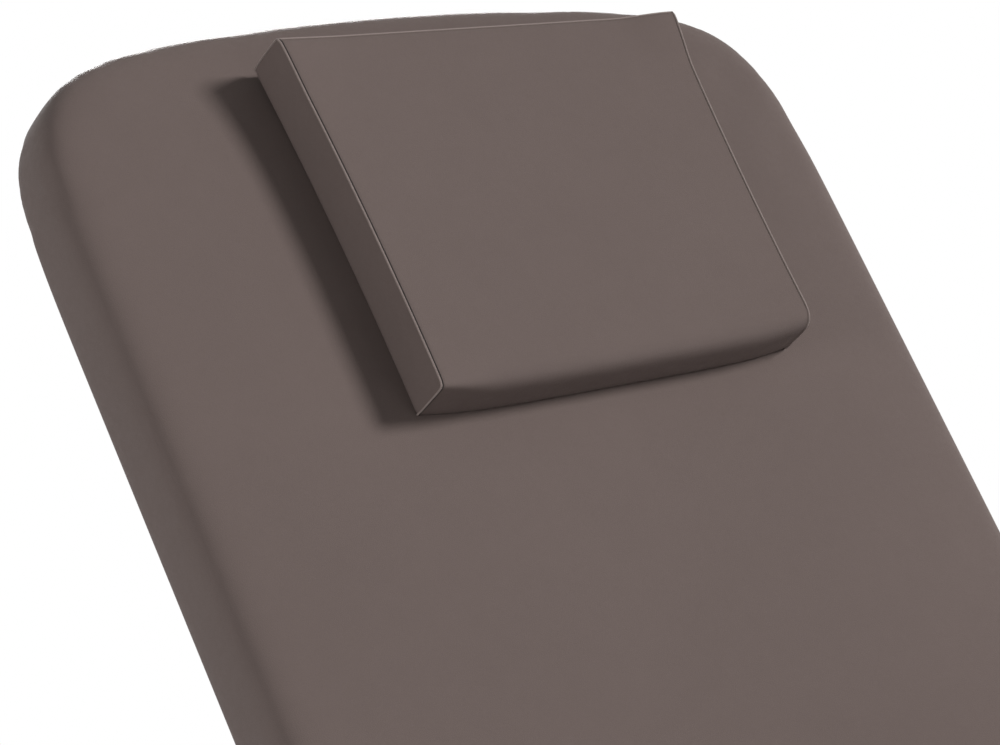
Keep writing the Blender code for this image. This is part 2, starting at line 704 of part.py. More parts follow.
def lever_bar(name, parent, y, top, side, drive):
    """The cross bar that carries the drive's lever, a plate with a slot for the rod's pin."""
    bar = cross_bar(name, parent, y, top)
    path = drive.pin_path()
    x = side * DRIVE_OFFSET
    foot_z = top - BAR_HEIGHT + LEVER_FOOT_RADIUS / 2
    reach = BAR_WIDTH / 2 - LEVER_FOOT_RADIUS
    discs = [(py, pz, DRIVE_PIN_RADIUS + LEVER_RIM) for py, pz in path]
    discs += [(y + reach, foot_z, LEVER_FOOT_RADIUS), (y - reach, foot_z, LEVER_FOOT_RADIUS)]
    add(bar, piece("lever", link_bm(discs, LEVER_THICKNESS, x), "frame_paint", parent))
    hole = [(py, pz, DRIVE_PIN_RADIUS + GAP) for py, pz in path]
    cut(bar, piece("slot", link_bm(hole, LEVER_THICKNESS + OVERRUN, x), "zinc", parent))
    return bar


def backrest_frame(back, seat):
    """The rails, bars and hinge pins of the backrest, from its hinge."""
    bottom = BACK_FRAME_TOP - RAIL_HEIGHT
    outline = hinge_ear(1, BACK_GAP / 2, BACK_FRAME_TOP, bottom, True)
    start = BACK_GAP / 2 + COVER_TURN_IN + 2 * GAP
    for name, side in (("left", -1), ("right", 1)):
        ears = [(0, 0, EAR_SHIFT, outline)]
        rail(f"back_rail_{name}", side, back, start, BACK_RAIL_END, BACK_FRAME_TOP, ears)
        hinge_pin(f"back_hinge_pin_{name}", side, seat, *BACK_HINGE)
    lever_bar("back_lever_bar", back, LEVER_BAR_FROM_HINGE, BACK_FRAME_TOP, 1, BACK_DRIVE)
    cross_bar("back_upper_bar", back, BACK_RAIL_END - BACK_BAR_FROM_RAIL_END, BACK_FRAME_TOP)


def leg_frame(leg, seat):
    """The rails, bars and hinge pins of the leg rest, from its hinge."""
    bottom = LEG_FRAME_TOP - RAIL_HEIGHT
    outline = hinge_ear(-1, LEG_GAP / 2, LEG_FRAME_TOP, bottom, False)
    start = -(LEG_GAP / 2 + COVER_TURN_IN + 2 * GAP)
    for name, side in (("left", -1), ("right", 1)):
        ears = [(0, 0, EAR_SHIFT, outline)]
        rail(f"leg_rail_{name}", side, leg, start, -LEG_RAIL_END, LEG_FRAME_TOP, ears)
        hinge_pin(f"leg_hinge_pin_{name}", side, seat, *LEG_HINGE)
    lever_bar("leg_lever_bar", leg, -LEVER_BAR_FROM_HINGE, LEG_FRAME_TOP, -1, LEG_DRIVE)
    cross_bar("leg_outer_bar", leg, LEG_BAR_FROM_RAIL_END - LEG_RAIL_END, LEG_FRAME_TOP)


def bracket(bar, x, y, z, bar_y, bar_bottom, parent):
    """Two plates under a cross bar that hold a drive's rear pin."""
    reach = BAR_WIDTH / 2 - LEVER_FOOT_RADIUS
    foot_z = bar_bottom + LEVER_FOOT_RADIUS / 2
    discs = [(y, z, BRACKET_RADIUS)]
    discs += [(bar_y + end * reach, foot_z, LEVER_FOOT_RADIUS) for end in (-1, 1)]
    spread = GEARBOX_WIDTH / 2 + GAP + BRACKET_THICKNESS / 2
    for end in (-1, 1):
        plate_x = x + end * spread
        add(bar, piece("bracket", link_bm(discs, BRACKET_THICKNESS, plate_x), "frame_paint", parent))
    drilled(bar, DRIVE_PIN_RADIUS + GAP, x, y, z, 2 * spread + BRACKET_THICKNESS + OVERRUN)


def seat_frame(seat):
    """The rails and bars under the seat, with the drives' brackets."""
    back_ear = hinge_ear(-1, BACK_GAP / 2, BACK_FRAME_TOP, BACK_FRAME_TOP - RAIL_HEIGHT, True)
    leg_ear = hinge_ear(1, LEG_GAP / 2, LEG_FRAME_TOP, LEG_FRAME_TOP - RAIL_HEIGHT, False)
    end = SEAT_LENGTH / 2 - COVER_TURN_IN - 2 * GAP
    for name, side in (("left", -1), ("right", 1)):
        ears = [(*BACK_HINGE, -EAR_SHIFT, back_ear), (*LEG_HINGE, -EAR_SHIFT, leg_ear)]
        rail(f"seat_rail_{name}", side, seat, -end, end, FRAME_TOP, ears)
    for name, end, side, hinge, pivot in (
        ("seat_bar_front", -1, 1, BACK_HINGE, BACK_DRIVE_PIVOT),
        ("seat_bar_rear", 1, -1, LEG_HINGE, LEG_DRIVE_PIVOT),
    ):
        bar_y = end * SEAT_BAR_OFFSET
        bar = cross_bar(name, seat, bar_y, FRAME_TOP)
        bracket(bar, side * DRIVE_OFFSET, hinge[0] + pivot[0], hinge[1] + pivot[1], bar_y, BAR_BOTTOM, seat)
    control_y = HEAD_PLATE_LENGTH / 2 + CONTROL_UNIT_FROM_HEAD_PLATE + CONTROL_UNIT_LENGTH / 2
    size = (CONTROL_UNIT_WIDTH, CONTROL_UNIT_LENGTH, CONTROL_UNIT_HEIGHT)
    box = box_bm(size, (0, control_y, FRAME_TOP - CONTROL_UNIT_HEIGHT / 2), CONTROL_UNIT_CORNER)
    piece("control_unit", box, "black_plastic", seat)


def section_drive(name, drive, seat, hinge, turn, side, motor_side):
    """A linear actuator: its housing on the seat frame, and the rod whose pin runs in the section's lever."""
    x = side * DRIVE_OFFSET
    pivot = (x, hinge[0] + drive.pivot[0], hinge[1] + drive.pivot[1])
    housing_frame = frame_at(f"{name}_drive", seat, pivot, drive.angle_at(turn))
    rod_frame = frame_at(f"{name}_rod_slide", housing_frame, (0, drive.length_at(turn), 0))
    tube_end = drive.shortest() - FORK_DEPTH - FORK_NECK - DRIVE_TUBE_ROOM
    gearbox_end = GEARBOX_LENGTH - GEARBOX_BACK
    gearbox_z = motor_side * (GEARBOX_HEIGHT / 2 - GEARBOX_ABOVE)
    gearbox_centre = (0, gearbox_end - GEARBOX_LENGTH / 2, gearbox_z)
    gearbox = box_bm((GEARBOX_WIDTH, GEARBOX_LENGTH, GEARBOX_HEIGHT), gearbox_centre, GEARBOX_CORNER, "X")
    housing = piece(f"{name}_drive_housing", gearbox, "black_plastic", housing_frame)
    guide_length = tube_end - gearbox_end + OVERRUN
    guide_place = (0, tube_end - guide_length / 2, 0)
    guide = rod_bm(DRIVE_TUBE_RADIUS, guide_length, guide_place, "Y", steps=ROUND_STEPS)
    add(housing, piece("guide", guide, "zinc", housing_frame))
    motor_z = motor_side * (GEARBOX_HEIGHT - GEARBOX_ABOVE - MOTOR_RADIUS - GEARBOX_CORNER / 2)
    motor_length = MOTOR_LENGTH + OVERRUN
    motor_place = (0, gearbox_end - OVERRUN + motor_length / 2, motor_z)
    motor = rod_bm(MOTOR_RADIUS, motor_length, motor_place, "Y", steps=ROUND_STEPS)
    add(housing, piece("motor", motor, "black_plastic", housing_frame))
    bore_start = drive.shortest() - FORK_DEPTH - ROD_LENGTH - GAP
    bore_length = tube_end - bore_start + OVERRUN
    bore = rod_bm(ROD_RADIUS + GAP, bore_length, (0, bore_start + bore_length / 2, 0), "Y")
    cut(housing, piece("bore", bore, "zinc", housing_frame))
    drilled(housing, DRIVE_PIN_RADIUS + GAP, 0, 0, 0, GEARBOX_WIDTH + OVERRUN)
    rear_grip = GEARBOX_WIDTH + 2 * (BRACKET_THICKNESS + 2 * GAP)
    piece(f"{name}_drive_rear_pin", pin_bm(DRIVE_PIN_RADIUS, rear_grip, pivot), "zinc", seat)
    gap_width = LEVER_THICKNESS + 2 * FORK_SIDE_ROOM
    fork_width = gap_width + 2 * FORK_CHEEK
    fork_length = FORK_NOSE + FORK_DEPTH + FORK_NECK
    rod_y = -FORK_DEPTH - ROD_LENGTH / 2
    rod = piece(f"{name}_drive_rod", rod_bm(ROD_RADIUS, ROD_LENGTH, (0, rod_y, 0), "Y"), "rod_steel", rod_frame)
    fork_centre = (0, FORK_NOSE - fork_length / 2, 0)
    fork = box_bm((fork_width, fork_length, FORK_HEIGHT), fork_centre, FORK_HEIGHT / 4, "X")
    add(rod, piece("fork", fork, "rod_steel", rod_frame))
    mouth = (gap_width, FORK_NOSE + FORK_DEPTH + OVERRUN, FORK_HEIGHT + OVERRUN)
    mouth_centre = (0, (FORK_NOSE + OVERRUN - FORK_DEPTH) / 2, 0)
    cut(rod, piece("fork_mouth", box_bm(mouth, mouth_centre), "zinc", rod_frame))
    drilled(rod, DRIVE_PIN_RADIUS + GAP, 0, 0, 0, fork_width + OVERRUN)
    rod_pin = pin_bm(DRIVE_PIN_RADIUS, fork_width + 2 * GAP)
    piece(f"{name}_drive_rod_pin", rod_pin, "zinc", rod_frame)


def lifting_column(root, middle, top):
    """The telescoping column and what drives it, with its lowest places at lift 0."""
    start = BASE_TOP + GAP
    step = COLUMN_WALL + COLUMN_ROOM
    sizes = [COLUMN_SIZE - 2 * k * step for k in range(3)]
    tops = (
        HEAD_PLATE_BOTTOM - OUTER_TUBE_BELOW_HEAD,
        HEAD_PLATE_BOTTOM - MIDDLE_TUBE_BELOW_HEAD,
        HEAD_PLATE_BOTTOM - GAP,
    )
    bottoms = (start, BASE_TOP + MIDDLE_TUBE_FOOT_ROOM, BASE_TOP + INNER_TUBE_FOOT_ROOM)
    stages = (("column_outer", root), ("column_middle", middle), ("column_inner", top))
    for (name, parent), size, foot, end in zip(stages, sizes, bottoms, tops):
        length = end - foot
        corner = COLUMN_CORNER - (COLUMN_SIZE - size) / 4
        place = (0, 0, end - length / 2)
        tube(name, size, size, length, "Z", "column_paint", parent, place, COLUMN_WALL, corner)
    for name, size, end, parent in (
        ("outer_glide_collar", sizes[1], tops[0], root),
        ("middle_glide_collar", sizes[2], tops[1], middle),
    ):
        side = size + 2 * (COLUMN_ROOM - GAP)
        place = (0, 0, end - COLLAR_HEIGHT / 2)
        tube(
            name, side, side, COLLAR_HEIGHT, "Z", "black_plastic", parent, place,
            COLUMN_ROOM - 2 * GAP, COLUMN_CORNER - (COLUMN_SIZE - side) / 4,
        )
    head = (HEAD_PLATE_WIDTH, HEAD_PLATE_LENGTH, HEAD_PLATE_THICKNESS)
    head_z = HEAD_PLATE_BOTTOM + HEAD_PLATE_THICKNESS / 2
    piece("column_head_plate", box_bm(head, (0, 0, head_z), COLUMN_CORNER), "column_paint", top)
    motor_top = start + LIFT_MOTOR_HEIGHT
    motor = (LIFT_MOTOR_SIZE, LIFT_MOTOR_SIZE, LIFT_MOTOR_HEIGHT)
    motor_place = (0, 0, start + LIFT_MOTOR_HEIGHT / 2)
    piece("lift_motor", box_bm(motor, motor_place, LIFT_MOTOR_CORNER), "black_plastic", root)
    spindle_length = HEAD_PLATE_BOTTOM - SPINDLE_BELOW_HEAD - motor_top - GAP
    spindle = rod_bm(SPINDLE_RADIUS, spindle_length, (0, 0, motor_top + GAP + spindle_length / 2))
    piece("lift_spindle", spindle, "rod_steel", root)
    nut_bottom = motor_top + SPINDLE_NUT_HEIGHT / 2
    push_length = HEAD_PLATE_BOTTOM - GAP - nut_bottom
    push = rod_bm(PUSH_TUBE_RADIUS, push_length, (0, 0, nut_bottom + push_length / 2))
    push_tube = piece("lift_push_tube", push, "zinc", top)
    bore = rod_bm(SPINDLE_RADIUS + GAP, SPINDLE_NUT_HEIGHT * 2, (0, 0, nut_bottom))
    cut(push_tube, piece("nut_bore", bore, "zinc", top))
    hollow_bottom = nut_bottom + SPINDLE_NUT_HEIGHT
    hollow_length = HEAD_PLATE_BOTTOM + OVERRUN - hollow_bottom
    hollow_radius = PUSH_TUBE_RADIUS - PUSH_TUBE_WALL
    hollow = rod_bm(hollow_radius, hollow_length, (0, 0, hollow_bottom + hollow_length / 2))
    cut(push_tube, piece("push_tube_hollow", hollow, "zinc", top))


def base(root):
    """The floor plate on its feet, and the cover round the column's foot."""
    plate = box_bm(
        (BASE_WIDTH, BASE_LENGTH, BASE_THICKNESS), (0, 0, BASE_BOTTOM + BASE_THICKNESS / 2), BASE_CORNER
    )
    piece("base_plate", plate, "column_paint", root)
    spots = [(sx, sy) for sy in (-1, 1) for sx in (-1, 1)]
    for (sx, sy), name in zip(spots, ("toe_left", "toe_right", "head_left", "head_right")):
        place = (sx * (BASE_WIDTH / 2 - FOOT_INSET), sy * (BASE_LENGTH / 2 - FOOT_INSET), FOOT_HEIGHT / 2)
        foot = rod_bm(FOOT_RADIUS, FOOT_HEIGHT, place, tip_radius=FOOT_RADIUS - FOOT_DRAFT, steps=ROUND_STEPS)
        piece(f"foot_{name}", foot, "rubber", root)
    bottom = BASE_TOP + GAP
    size = (BASE_COVER_WIDTH, BASE_COVER_LENGTH, BASE_COVER_HEIGHT)
    bm = box_bm(size, (0, 0, bottom + BASE_COVER_HEIGHT / 2), BASE_COVER_CORNER)
    top_z = bottom + BASE_COVER_HEIGHT
    lid_edges = [e for e in bm.edges if all(abs(v.co.z - top_z) < GAP for v in e.verts)]
    bmesh.ops.bevel(
        bm, geom=lid_edges, offset=BASE_COVER_EDGE, offset_type="OFFSET", segments=CORNER_STEPS,
        profile=0.5, affect="EDGES", material=-1,
    )
    under = [f for f in bm.faces if all(abs(v.co.z - bottom) < GAP for v in f.verts)]
    bmesh.ops.delete(bm, geom=under, context="FACES_ONLY")
    cover = piece("base_cover", bm, "grey_plastic", root)
    solidify = cover.modifiers.new("wall", "SOLIDIFY")
    solidify.thickness = BASE_COVER_WALL
    solidify.offset = -1
    hole = COLUMN_SIZE + 2 * BASE_COVER_COLUMN_ROOM
    hole_z = bottom + BASE_COVER_HEIGHT
    cut(cover, piece("column_hole", box_bm((hole, hole, BASE_COVER_EDGE * 2), (0, 0, hole_z)), "zinc", root))
    mains_inlet(root, cover, bottom)


def mains_inlet(root, cover, bottom):
    """The socket in the cover's head end that a mains lead plugs into."""
    face_y = BASE_COVER_LENGTH / 2
    z = bottom + (BASE_COVER_HEIGHT - BASE_COVER_EDGE) / 2
    window = (INLET_WIDTH + 2 * GAP, BASE_COVER_WALL + 2 * OVERRUN, INLET_HEIGHT + 2 * GAP)
    cut(cover, piece("inlet_window", box_bm(window, (0, face_y, z)), "zinc", root))
    body = box_bm((INLET_WIDTH, INLET_DEPTH, INLET_HEIGHT), (0, face_y - INLET_DEPTH / 2 + GAP, z))
    inlet = piece("mains_inlet", body, "black_plastic", root)
    recess = (INLET_WIDTH - 2 * INLET_RIM, INLET_RECESS + OVERRUN, INLET_HEIGHT - 2 * INLET_RIM)
    recess_y = face_y + GAP - INLET_RECESS / 2 + OVERRUN / 2
    cut(inlet, piece("inlet_recess", box_bm(recess, (0, recess_y, z)), "zinc", root))
    floor_y = face_y + GAP - INLET_RECESS
    for k in (-1, 0, 1):
        size = (INLET_PIN_WIDTH, INLET_PIN_LENGTH + OVERRUN / 2, INLET_PIN_HEIGHT)
        pin_y = floor_y + (INLET_PIN_LENGTH - OVERRUN / 2) / 2
        pin_z = z - INLET_PIN_DROP * (abs(k) - 1 / 2)
        add(inlet, piece("inlet_pin", box_bm(size, (k * INLET_PIN_SPACING, pin_y, pin_z)), "zinc", root))


def foot_control(root):
    """The pedal unit on the base's left side: a housing with cheeks, a shaft, and the rocking pedals."""
    bottom = BASE_TOP + GAP
    x = -(BASE_WIDTH / 2 - PEDAL_UNIT_FROM_EDGE - PEDAL_UNIT_WIDTH / 2)
    top = bottom + PEDAL_UNIT_HEIGHT
    size = (PEDAL_UNIT_WIDTH, PEDAL_UNIT_LENGTH, PEDAL_UNIT_HEIGHT)
    body = box_bm(size, (x, 0, bottom + PEDAL_UNIT_HEIGHT / 2), PEDAL_UNIT_CORNER)
    housing = piece("pedal_housing", body, "grey_plastic", root)
    shaft_z = top + PEDAL_SHAFT_HEIGHT
    end_y = PEDAL_SPAN / 2 + CHEEK_SIDE_ROOM + CHEEK_THICKNESS / 2
    cheek_width = PEDAL_BOSS_RADIUS * 2
    cheek_height = PEDAL_SHAFT_HEIGHT + PEDAL_BOSS_RADIUS + OVERRUN
    for end in (-1, 1):
        centre = (x, end * end_y, top - OVERRUN + cheek_height / 2)
        add(housing, piece("cheek", box_bm((cheek_width, CHEEK_THICKNESS, cheek_height), centre), "zinc", root))
    shaft_length = 2 * end_y + CHEEK_THICKNESS
    hole = rod_bm(PEDAL_SHAFT_RADIUS + GAP, shaft_length + OVERRUN, (x, 0, shaft_z), "Y")
    cut(housing, piece("shaft_hole", hole, "zinc", root))
    piece("pedal_shaft", rod_bm(PEDAL_SHAFT_RADIUS, shaft_length, (x, 0, shaft_z), "Y"), "zinc", root)
    for k, name in enumerate(("leg", "lift", "back")):
        y = PEDAL_SPACING * (k - (PEDAL_COUNT - 1) / 2)
        pivot = frame_at(f"{name}_pedal_pivot", root, (x, y, shaft_z))
        tread_z = PEDAL_BOSS_RADIUS
        tread = box_bm((PEDAL_WIDTH, PEDAL_LENGTH, PEDAL_THICKNESS), (0, 0, tread_z), PEDAL_CORNER)
        pedal = piece(f"{name}_pedal", tread, "black_plastic", pivot)
        boss = piece("boss", rod_bm(PEDAL_BOSS_RADIUS, PEDAL_LENGTH, (0, 0, 0), "Y"), "zinc", pivot)
        add(pedal, boss)
        bore = rod_bm(PEDAL_SHAFT_RADIUS + GAP, PEDAL_LENGTH + OVERRUN, (0, 0, 0), "Y")
        cut(pedal, piece("pedal_bore", bore, "zinc", pivot))


def padding(seat, back, leg):
    """The three padded sections."""
    padded_section("seat", SEAT_OUTLINE, seat, (0, -SEAT_LENGTH / 2, SEAT_UNDERSIDE))
    padded_section("backrest", BACK_OUTLINE, back, (0, BACK_GAP / 2, -PAD_THICKNESS / 2))
    leg_place = (0, -LEG_GAP / 2, LEG_FRAME_TOP - COVER_WALL)
    padded_section("legrest", LEG_OUTLINE, leg, leg_place, math.pi)


def stand_on_origin(root):
    """Brings the middle of the whole bed over the origin."""
    bpy.context.view_layer.update()
    graph = bpy.context.evaluated_depsgraph_get()
    reach = []
    for obj in bpy.data.collections["treatment_bed"].objects:
        if obj.type == "MESH":
            shown = obj.evaluated_get(graph)
            reach += [(shown.matrix_world @ v.co).y for v in shown.data.vertices]
    root.location.y -= (max(reach) + min(reach)) / 2


def main():
    clear_scene()
    new_collection("treatment_bed")
    new_collection("cutters").hide_render = True
    root = frame_at("bed", None, (0, 0, 0))
    middle = frame_at("lift_middle", root, (0, 0, RAISED / 2))
    seat = frame_at("lift_top", root, (0, 0, RAISED))
    back = frame_at("backrest_hinge", seat, (0, *BACK_HINGE), BACK_ANGLE)
    leg = frame_at("legrest_hinge", seat, (0, *LEG_HINGE), LEG_ANGLE)
    padding(seat, back, leg)
    head_cushion(back)
    backrest_frame(back, seat)
    leg_frame(leg, seat)
    seat_frame(seat)
    section_drive("back", BACK_DRIVE, seat, BACK_HINGE, BACK_ANGLE, 1, -1)
    section_drive("leg", LEG_DRIVE, seat, LEG_HINGE, LEG_ANGLE, -1, 1)
    lifting_column(root, middle, seat)
    base(root)
    foot_control(root)
    stand_on_origin(root)


main()
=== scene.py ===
"""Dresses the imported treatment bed: padding, head cushion, frames, drives, lifting column and controls."""

import json
import logging
import math
from dataclasses import dataclass
from enum import Enum
from typing import Callable, Iterable, Sequence

import bmesh
import bpy
from mathutils import Matrix, Vector
from mathutils.kdtree import KDTree


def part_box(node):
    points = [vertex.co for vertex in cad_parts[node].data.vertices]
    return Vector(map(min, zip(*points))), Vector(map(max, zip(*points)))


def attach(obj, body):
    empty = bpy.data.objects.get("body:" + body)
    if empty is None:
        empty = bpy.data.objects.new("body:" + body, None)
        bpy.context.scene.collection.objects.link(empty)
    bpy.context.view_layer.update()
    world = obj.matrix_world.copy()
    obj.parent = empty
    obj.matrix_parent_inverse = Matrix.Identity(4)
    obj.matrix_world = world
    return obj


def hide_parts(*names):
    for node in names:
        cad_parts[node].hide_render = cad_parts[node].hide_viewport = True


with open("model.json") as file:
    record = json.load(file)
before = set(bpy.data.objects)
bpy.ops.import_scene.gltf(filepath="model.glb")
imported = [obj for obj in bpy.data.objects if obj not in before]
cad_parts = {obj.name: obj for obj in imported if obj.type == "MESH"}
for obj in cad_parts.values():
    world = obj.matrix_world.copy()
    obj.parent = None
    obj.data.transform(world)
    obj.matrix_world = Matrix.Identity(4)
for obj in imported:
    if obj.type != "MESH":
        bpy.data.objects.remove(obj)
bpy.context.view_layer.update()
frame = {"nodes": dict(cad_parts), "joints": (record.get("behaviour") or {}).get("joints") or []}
LOG = logging.getLogger("treatment_bed")

Triple = tuple[float, float, float]
Pair = tuple[float, float]

# The least room between two pieces, and how near two heights count as the same
HAIR = 0.0003
SAME = HAIR / 10

# The angle in degrees from which a hard piece's edge stays sharp
SHARP = 35.0


class Body(str, Enum):
    """The parts of the bed that move as one."""

    BASE = "base"
    COLUMN_STAGE = "column_stage"
    SEAT_FRAME = "seat_frame"
    BACKREST = "backrest"
    HEAD_CUSHION = "head_cushion"
    LEGREST = "legrest"
    BACK_DRIVE = "back_drive"
    BACK_ROD = "back_drive_rod"
    LEG_DRIVE = "leg_drive"
    LEG_ROD = "leg_drive_rod"
    LIFT_PEDAL = "lift_pedal"
    BACK_PEDAL = "back_pedal"
    LEG_PEDAL = "leg_pedal"


class Slot(str, Enum):
    """The material slots that the record names."""

    LEATHER = "leather"
    FOAM = "foam"
    PLYWOOD = "plywood"
    HOOK_TAPE = "hook_tape"
    FRAME_PAINT = "frame_paint"
    COLUMN_PAINT = "column_paint"
    ZINC = "zinc"
    ROD_STEEL = "rod_steel"
    BLACK_PLASTIC = "black_plastic"
    GREY_PLASTIC = "grey_plastic"
    RUBBER = "rubber"


class Axis(Enum):
    """The three directions of the bed's frame."""

    ACROSS = 0
    ALONG = 1
    UP = 2


ACROSS = Vector((1, 0, 0))
ALONG = Vector((0, 1, 0))
UP = Vector((0, 0, 1))
DOWN = Vector((0, 0, -1))

# Each hinge's place and each joint's axis at rest, by the joint's name
PIVOTS = {joint["name"]: Vector(joint["pos_m"]) for joint in frame["joints"] if "pos_m" in joint}
AXES = {joint["name"]: joint["axis"] for joint in frame["joints"]}

# Where each section and the cushion lie at rest
BACK_TILT = math.radians(50)
BACK_HINGE_FRAME = Matrix.Translation(PIVOTS["backrest_tilt"]) @ Matrix.Rotation(BACK_TILT, 4, "X")
LEG_HINGE_FRAME = Matrix.Translation(PIVOTS["legrest_tilt"])
SEAT_FRAME = Matrix.Translation((0, -0.025980, 0.572600))
BACK_PAD_FRAME = BACK_HINGE_FRAME @ Matrix.Translation((0, 0.010, -0.031))
SEAT_PAD_FRAME = Matrix.Translation((0, -0.275980, 0.570100))
LEG_PAD_FRAME = Matrix.Translation((0, -0.287980, 0.570100)) @ Matrix.Rotation(math.pi, 4, "Z")
CUSHION_FRAME = Matrix.Translation((0.027, 0.616278, 1.118419)) @ Matrix.Rotation(BACK_TILT, 4, "X")


# Materials


class NodeSheet:
    """A material's node tree, with short calls for the nodes that the finishes use."""

    def __init__(self, name: str) -> None:
        """Starts a material with its shader and its object coordinates.

        Args:
            name: The material's name.
        """
        self.material = bpy.data.materials.new(name)
        self.material.use_nodes = True
        self.tree = self.material.node_tree
        self.shader = self.tree.nodes["Principled BSDF"]
        self.place = self.tree.nodes.new("ShaderNodeTexCoord").outputs["Object"]

    def node(self, kind: str, inputs: dict | None = None, **settings: object) -> bpy.types.Node:
        """Adds a node.

        Args:
            kind: The node's type name without its ShaderNode prefix.
            inputs: Values or sockets for its inputs, by name or number.
            settings: Attributes of the node.

        Returns:
            The new node.
        """
        made = self.tree.nodes.new(f"ShaderNode{kind}")
        for key, value in settings.items():
            setattr(made, key, value)
        for key, value in (inputs or {}).items():
            self.feed(made.inputs[key], value)
        return made

    def feed(self, socket: bpy.types.NodeSocket, value: object) -> None:
        """Links a socket to a value's own socket, or sets it to the value."""
        if isinstance(value, bpy.types.NodeSocket):
            self.tree.links.new(value, socket)
        else:
            socket.default_value = value

    def set(self, **inputs: object) -> None:
        """Feeds the shader's inputs, whose names are given with underscores for spaces."""
        for key, value in inputs.items():
            self.feed(self.shader.inputs[key.replace("_", " ")], value)

    def turned_place(self, turn: Triple, scale: Triple = (1, 1, 1)) -> bpy.types.NodeSocket:
        """The object coordinates turned and stretched, so that a pattern follows a tilted piece."""
        first = self.node("Mapping", {"Vector": self.place, "Rotation": turn})
        return self.node("Mapping", {"Vector": first.outputs[0], "Scale": scale}).outputs[0]

    def noise(
        self, scale: float, detail: float = 2.0, rough: float = 0.5, at: bpy.types.NodeSocket | None = None
    ) -> bpy.types.NodeSocket:
        """A noise value, with its scale in grains per metre."""
        inputs = {"Vector": at or self.place, "Scale": scale, "Detail": detail, "Roughness": rough}
        return self.node("TexNoise", inputs).outputs["Fac"]

    def cells(self, scale: float, feature: str = "F1") -> bpy.types.NodeSocket:
        """The distance in a cell pattern, with its scale in cells per metre."""
        inputs = {"Vector": self.place, "Scale": scale}
        return self.node("TexVoronoi", inputs, feature=feature).outputs["Distance"]

    def spread(
        self, value: object, low: float, high: float, start: float = 0.0, end: float = 1.0
    ) -> bpy.types.NodeSocket:
        """A value brought from one range to another, and held inside it.

        Args:
            value: The value's socket.
            low: What the range's start becomes.
            high: What its end becomes.
            start: Where the range starts.
            end: Where it ends.

        Returns:
            The socket with the new value.
        """
        inputs = {"Value": value, "From Min": start, "From Max": end, "To Min": low, "To Max": high}
        return self.node("MapRange", inputs).outputs["Result"]

    def sum(self, a: object, b: object, share: float) -> bpy.types.NodeSocket:
        """The first value plus a share of the second."""
        return self.node("Math", {0: b, 1: share, 2: a}, operation="MULTIPLY_ADD").outputs[0]

    def tones(self, value: object, first: Triple, second: Triple) -> bpy.types.NodeSocket:
        """A colour between two, chosen by a value."""
        inputs = {"Factor": value, 6: (*first, 1), 7: (*second, 1)}
        return self.node("Mix", inputs, data_type="RGBA").outputs[2]

    def relief(self, height: object, depth: float, strength: float = 1.0) -> None:
        """Gives the shader a bump from a height value.

        Args:
            height: The socket with the height, from 0 to 1.
            depth: How deep the relief is, in metres.
            strength: How much of it shows.
        """
        bump = self.node("Bump", {"Height": height, "Distance": depth, "Strength": strength})
        self.set(Normal=bump.outputs[0])


@dataclass(frozen=True)
class Finish:
    """A finish of one of the record's slots, which makes its material once."""

    name: str
    slot: Slot
    colour: Triple
    rough: float

    def dress(self, sheet: NodeSheet) -> None:
        """Fills in the material's nodes."""
        raise NotImplementedError

    def shade(self, share: float) -> Triple:
        """The finish's colour times a share, so darker below 1 and paler above it."""
        return tuple(share * c for c in self.colour)

    def material(self) -> bpy.types.Material:
        """The finish's material, made on the first call."""
        name = f"{self.name}_finish"
        if name not in bpy.data.materials:
            sheet = NodeSheet(name)
            sheet.material.diffuse_color = (*self.colour, 1)
            self.dress(sheet)
        return bpy.data.materials[name]


@dataclass(frozen=True)
class Leather(Finish):
    """Smooth coated leather: a fine pebble grain, fine pores and a soft satin face."""

    pebbles: float = 850.0
    pores: float = 2600.0
    depth: float = 0.00004
    pale: float = 1.035
    deep: float = 0.955
    valley_tone: float = 0.86
    valley_width: float = 0.16
    valley_share: float = 0.35

    def dress(self, sheet: NodeSheet) -> None:
        """Fills in the leather's tone, grain and gloss."""
        drift = sheet.sum(sheet.noise(7, 3), sheet.noise(60, 2), 0.35)
        crease = sheet.cells(self.pebbles, "DISTANCE_TO_EDGE")
        valley = sheet.spread(crease, 0, 1, 0, self.valley_width)
        tone = sheet.tones(sheet.spread(drift, 0, 1, 0.45, 0.9), self.shade(self.deep), self.shade(self.pale))
        grooves = sheet.tones(valley, self.shade(self.valley_tone), self.colour)
        both = {"Factor": self.valley_share, 6: tone, 7: grooves}
        grain = sheet.node("Mix", both, data_type="RGBA").outputs[2]
        sheet.set(Base_Color=grain, IOR=1.42, Specular_IOR_Level=0.13)
        sheet.set(Roughness=sheet.spread(sheet.noise(220, 3), self.rough - 0.05, self.rough + 0.06, 0.3, 0.7))
        pitted = sheet.sum(valley, sheet.noise(self.pores, 2), 0.5)
        sheet.relief(sheet.sum(pitted, sheet.noise(45, 3), 1.6), self.depth)


@dataclass(frozen=True)
class PaintedSeamShade(Finish):
    """Painted shade: a dark tube at the bottom of a seam, coloured as the shadow where the turned leather
    lies.
    """

    def dress(self, sheet: NodeSheet) -> None:
        """Fills in the dull dark colour of the painted shade."""
        tone = sheet.tones(sheet.noise(900, 2), self.colour, self.shade(0.6))
        sheet.set(Base_Color=tone, Roughness=self.rough)
        sheet.relief(sheet.noise(1800, 2), 0.0001)


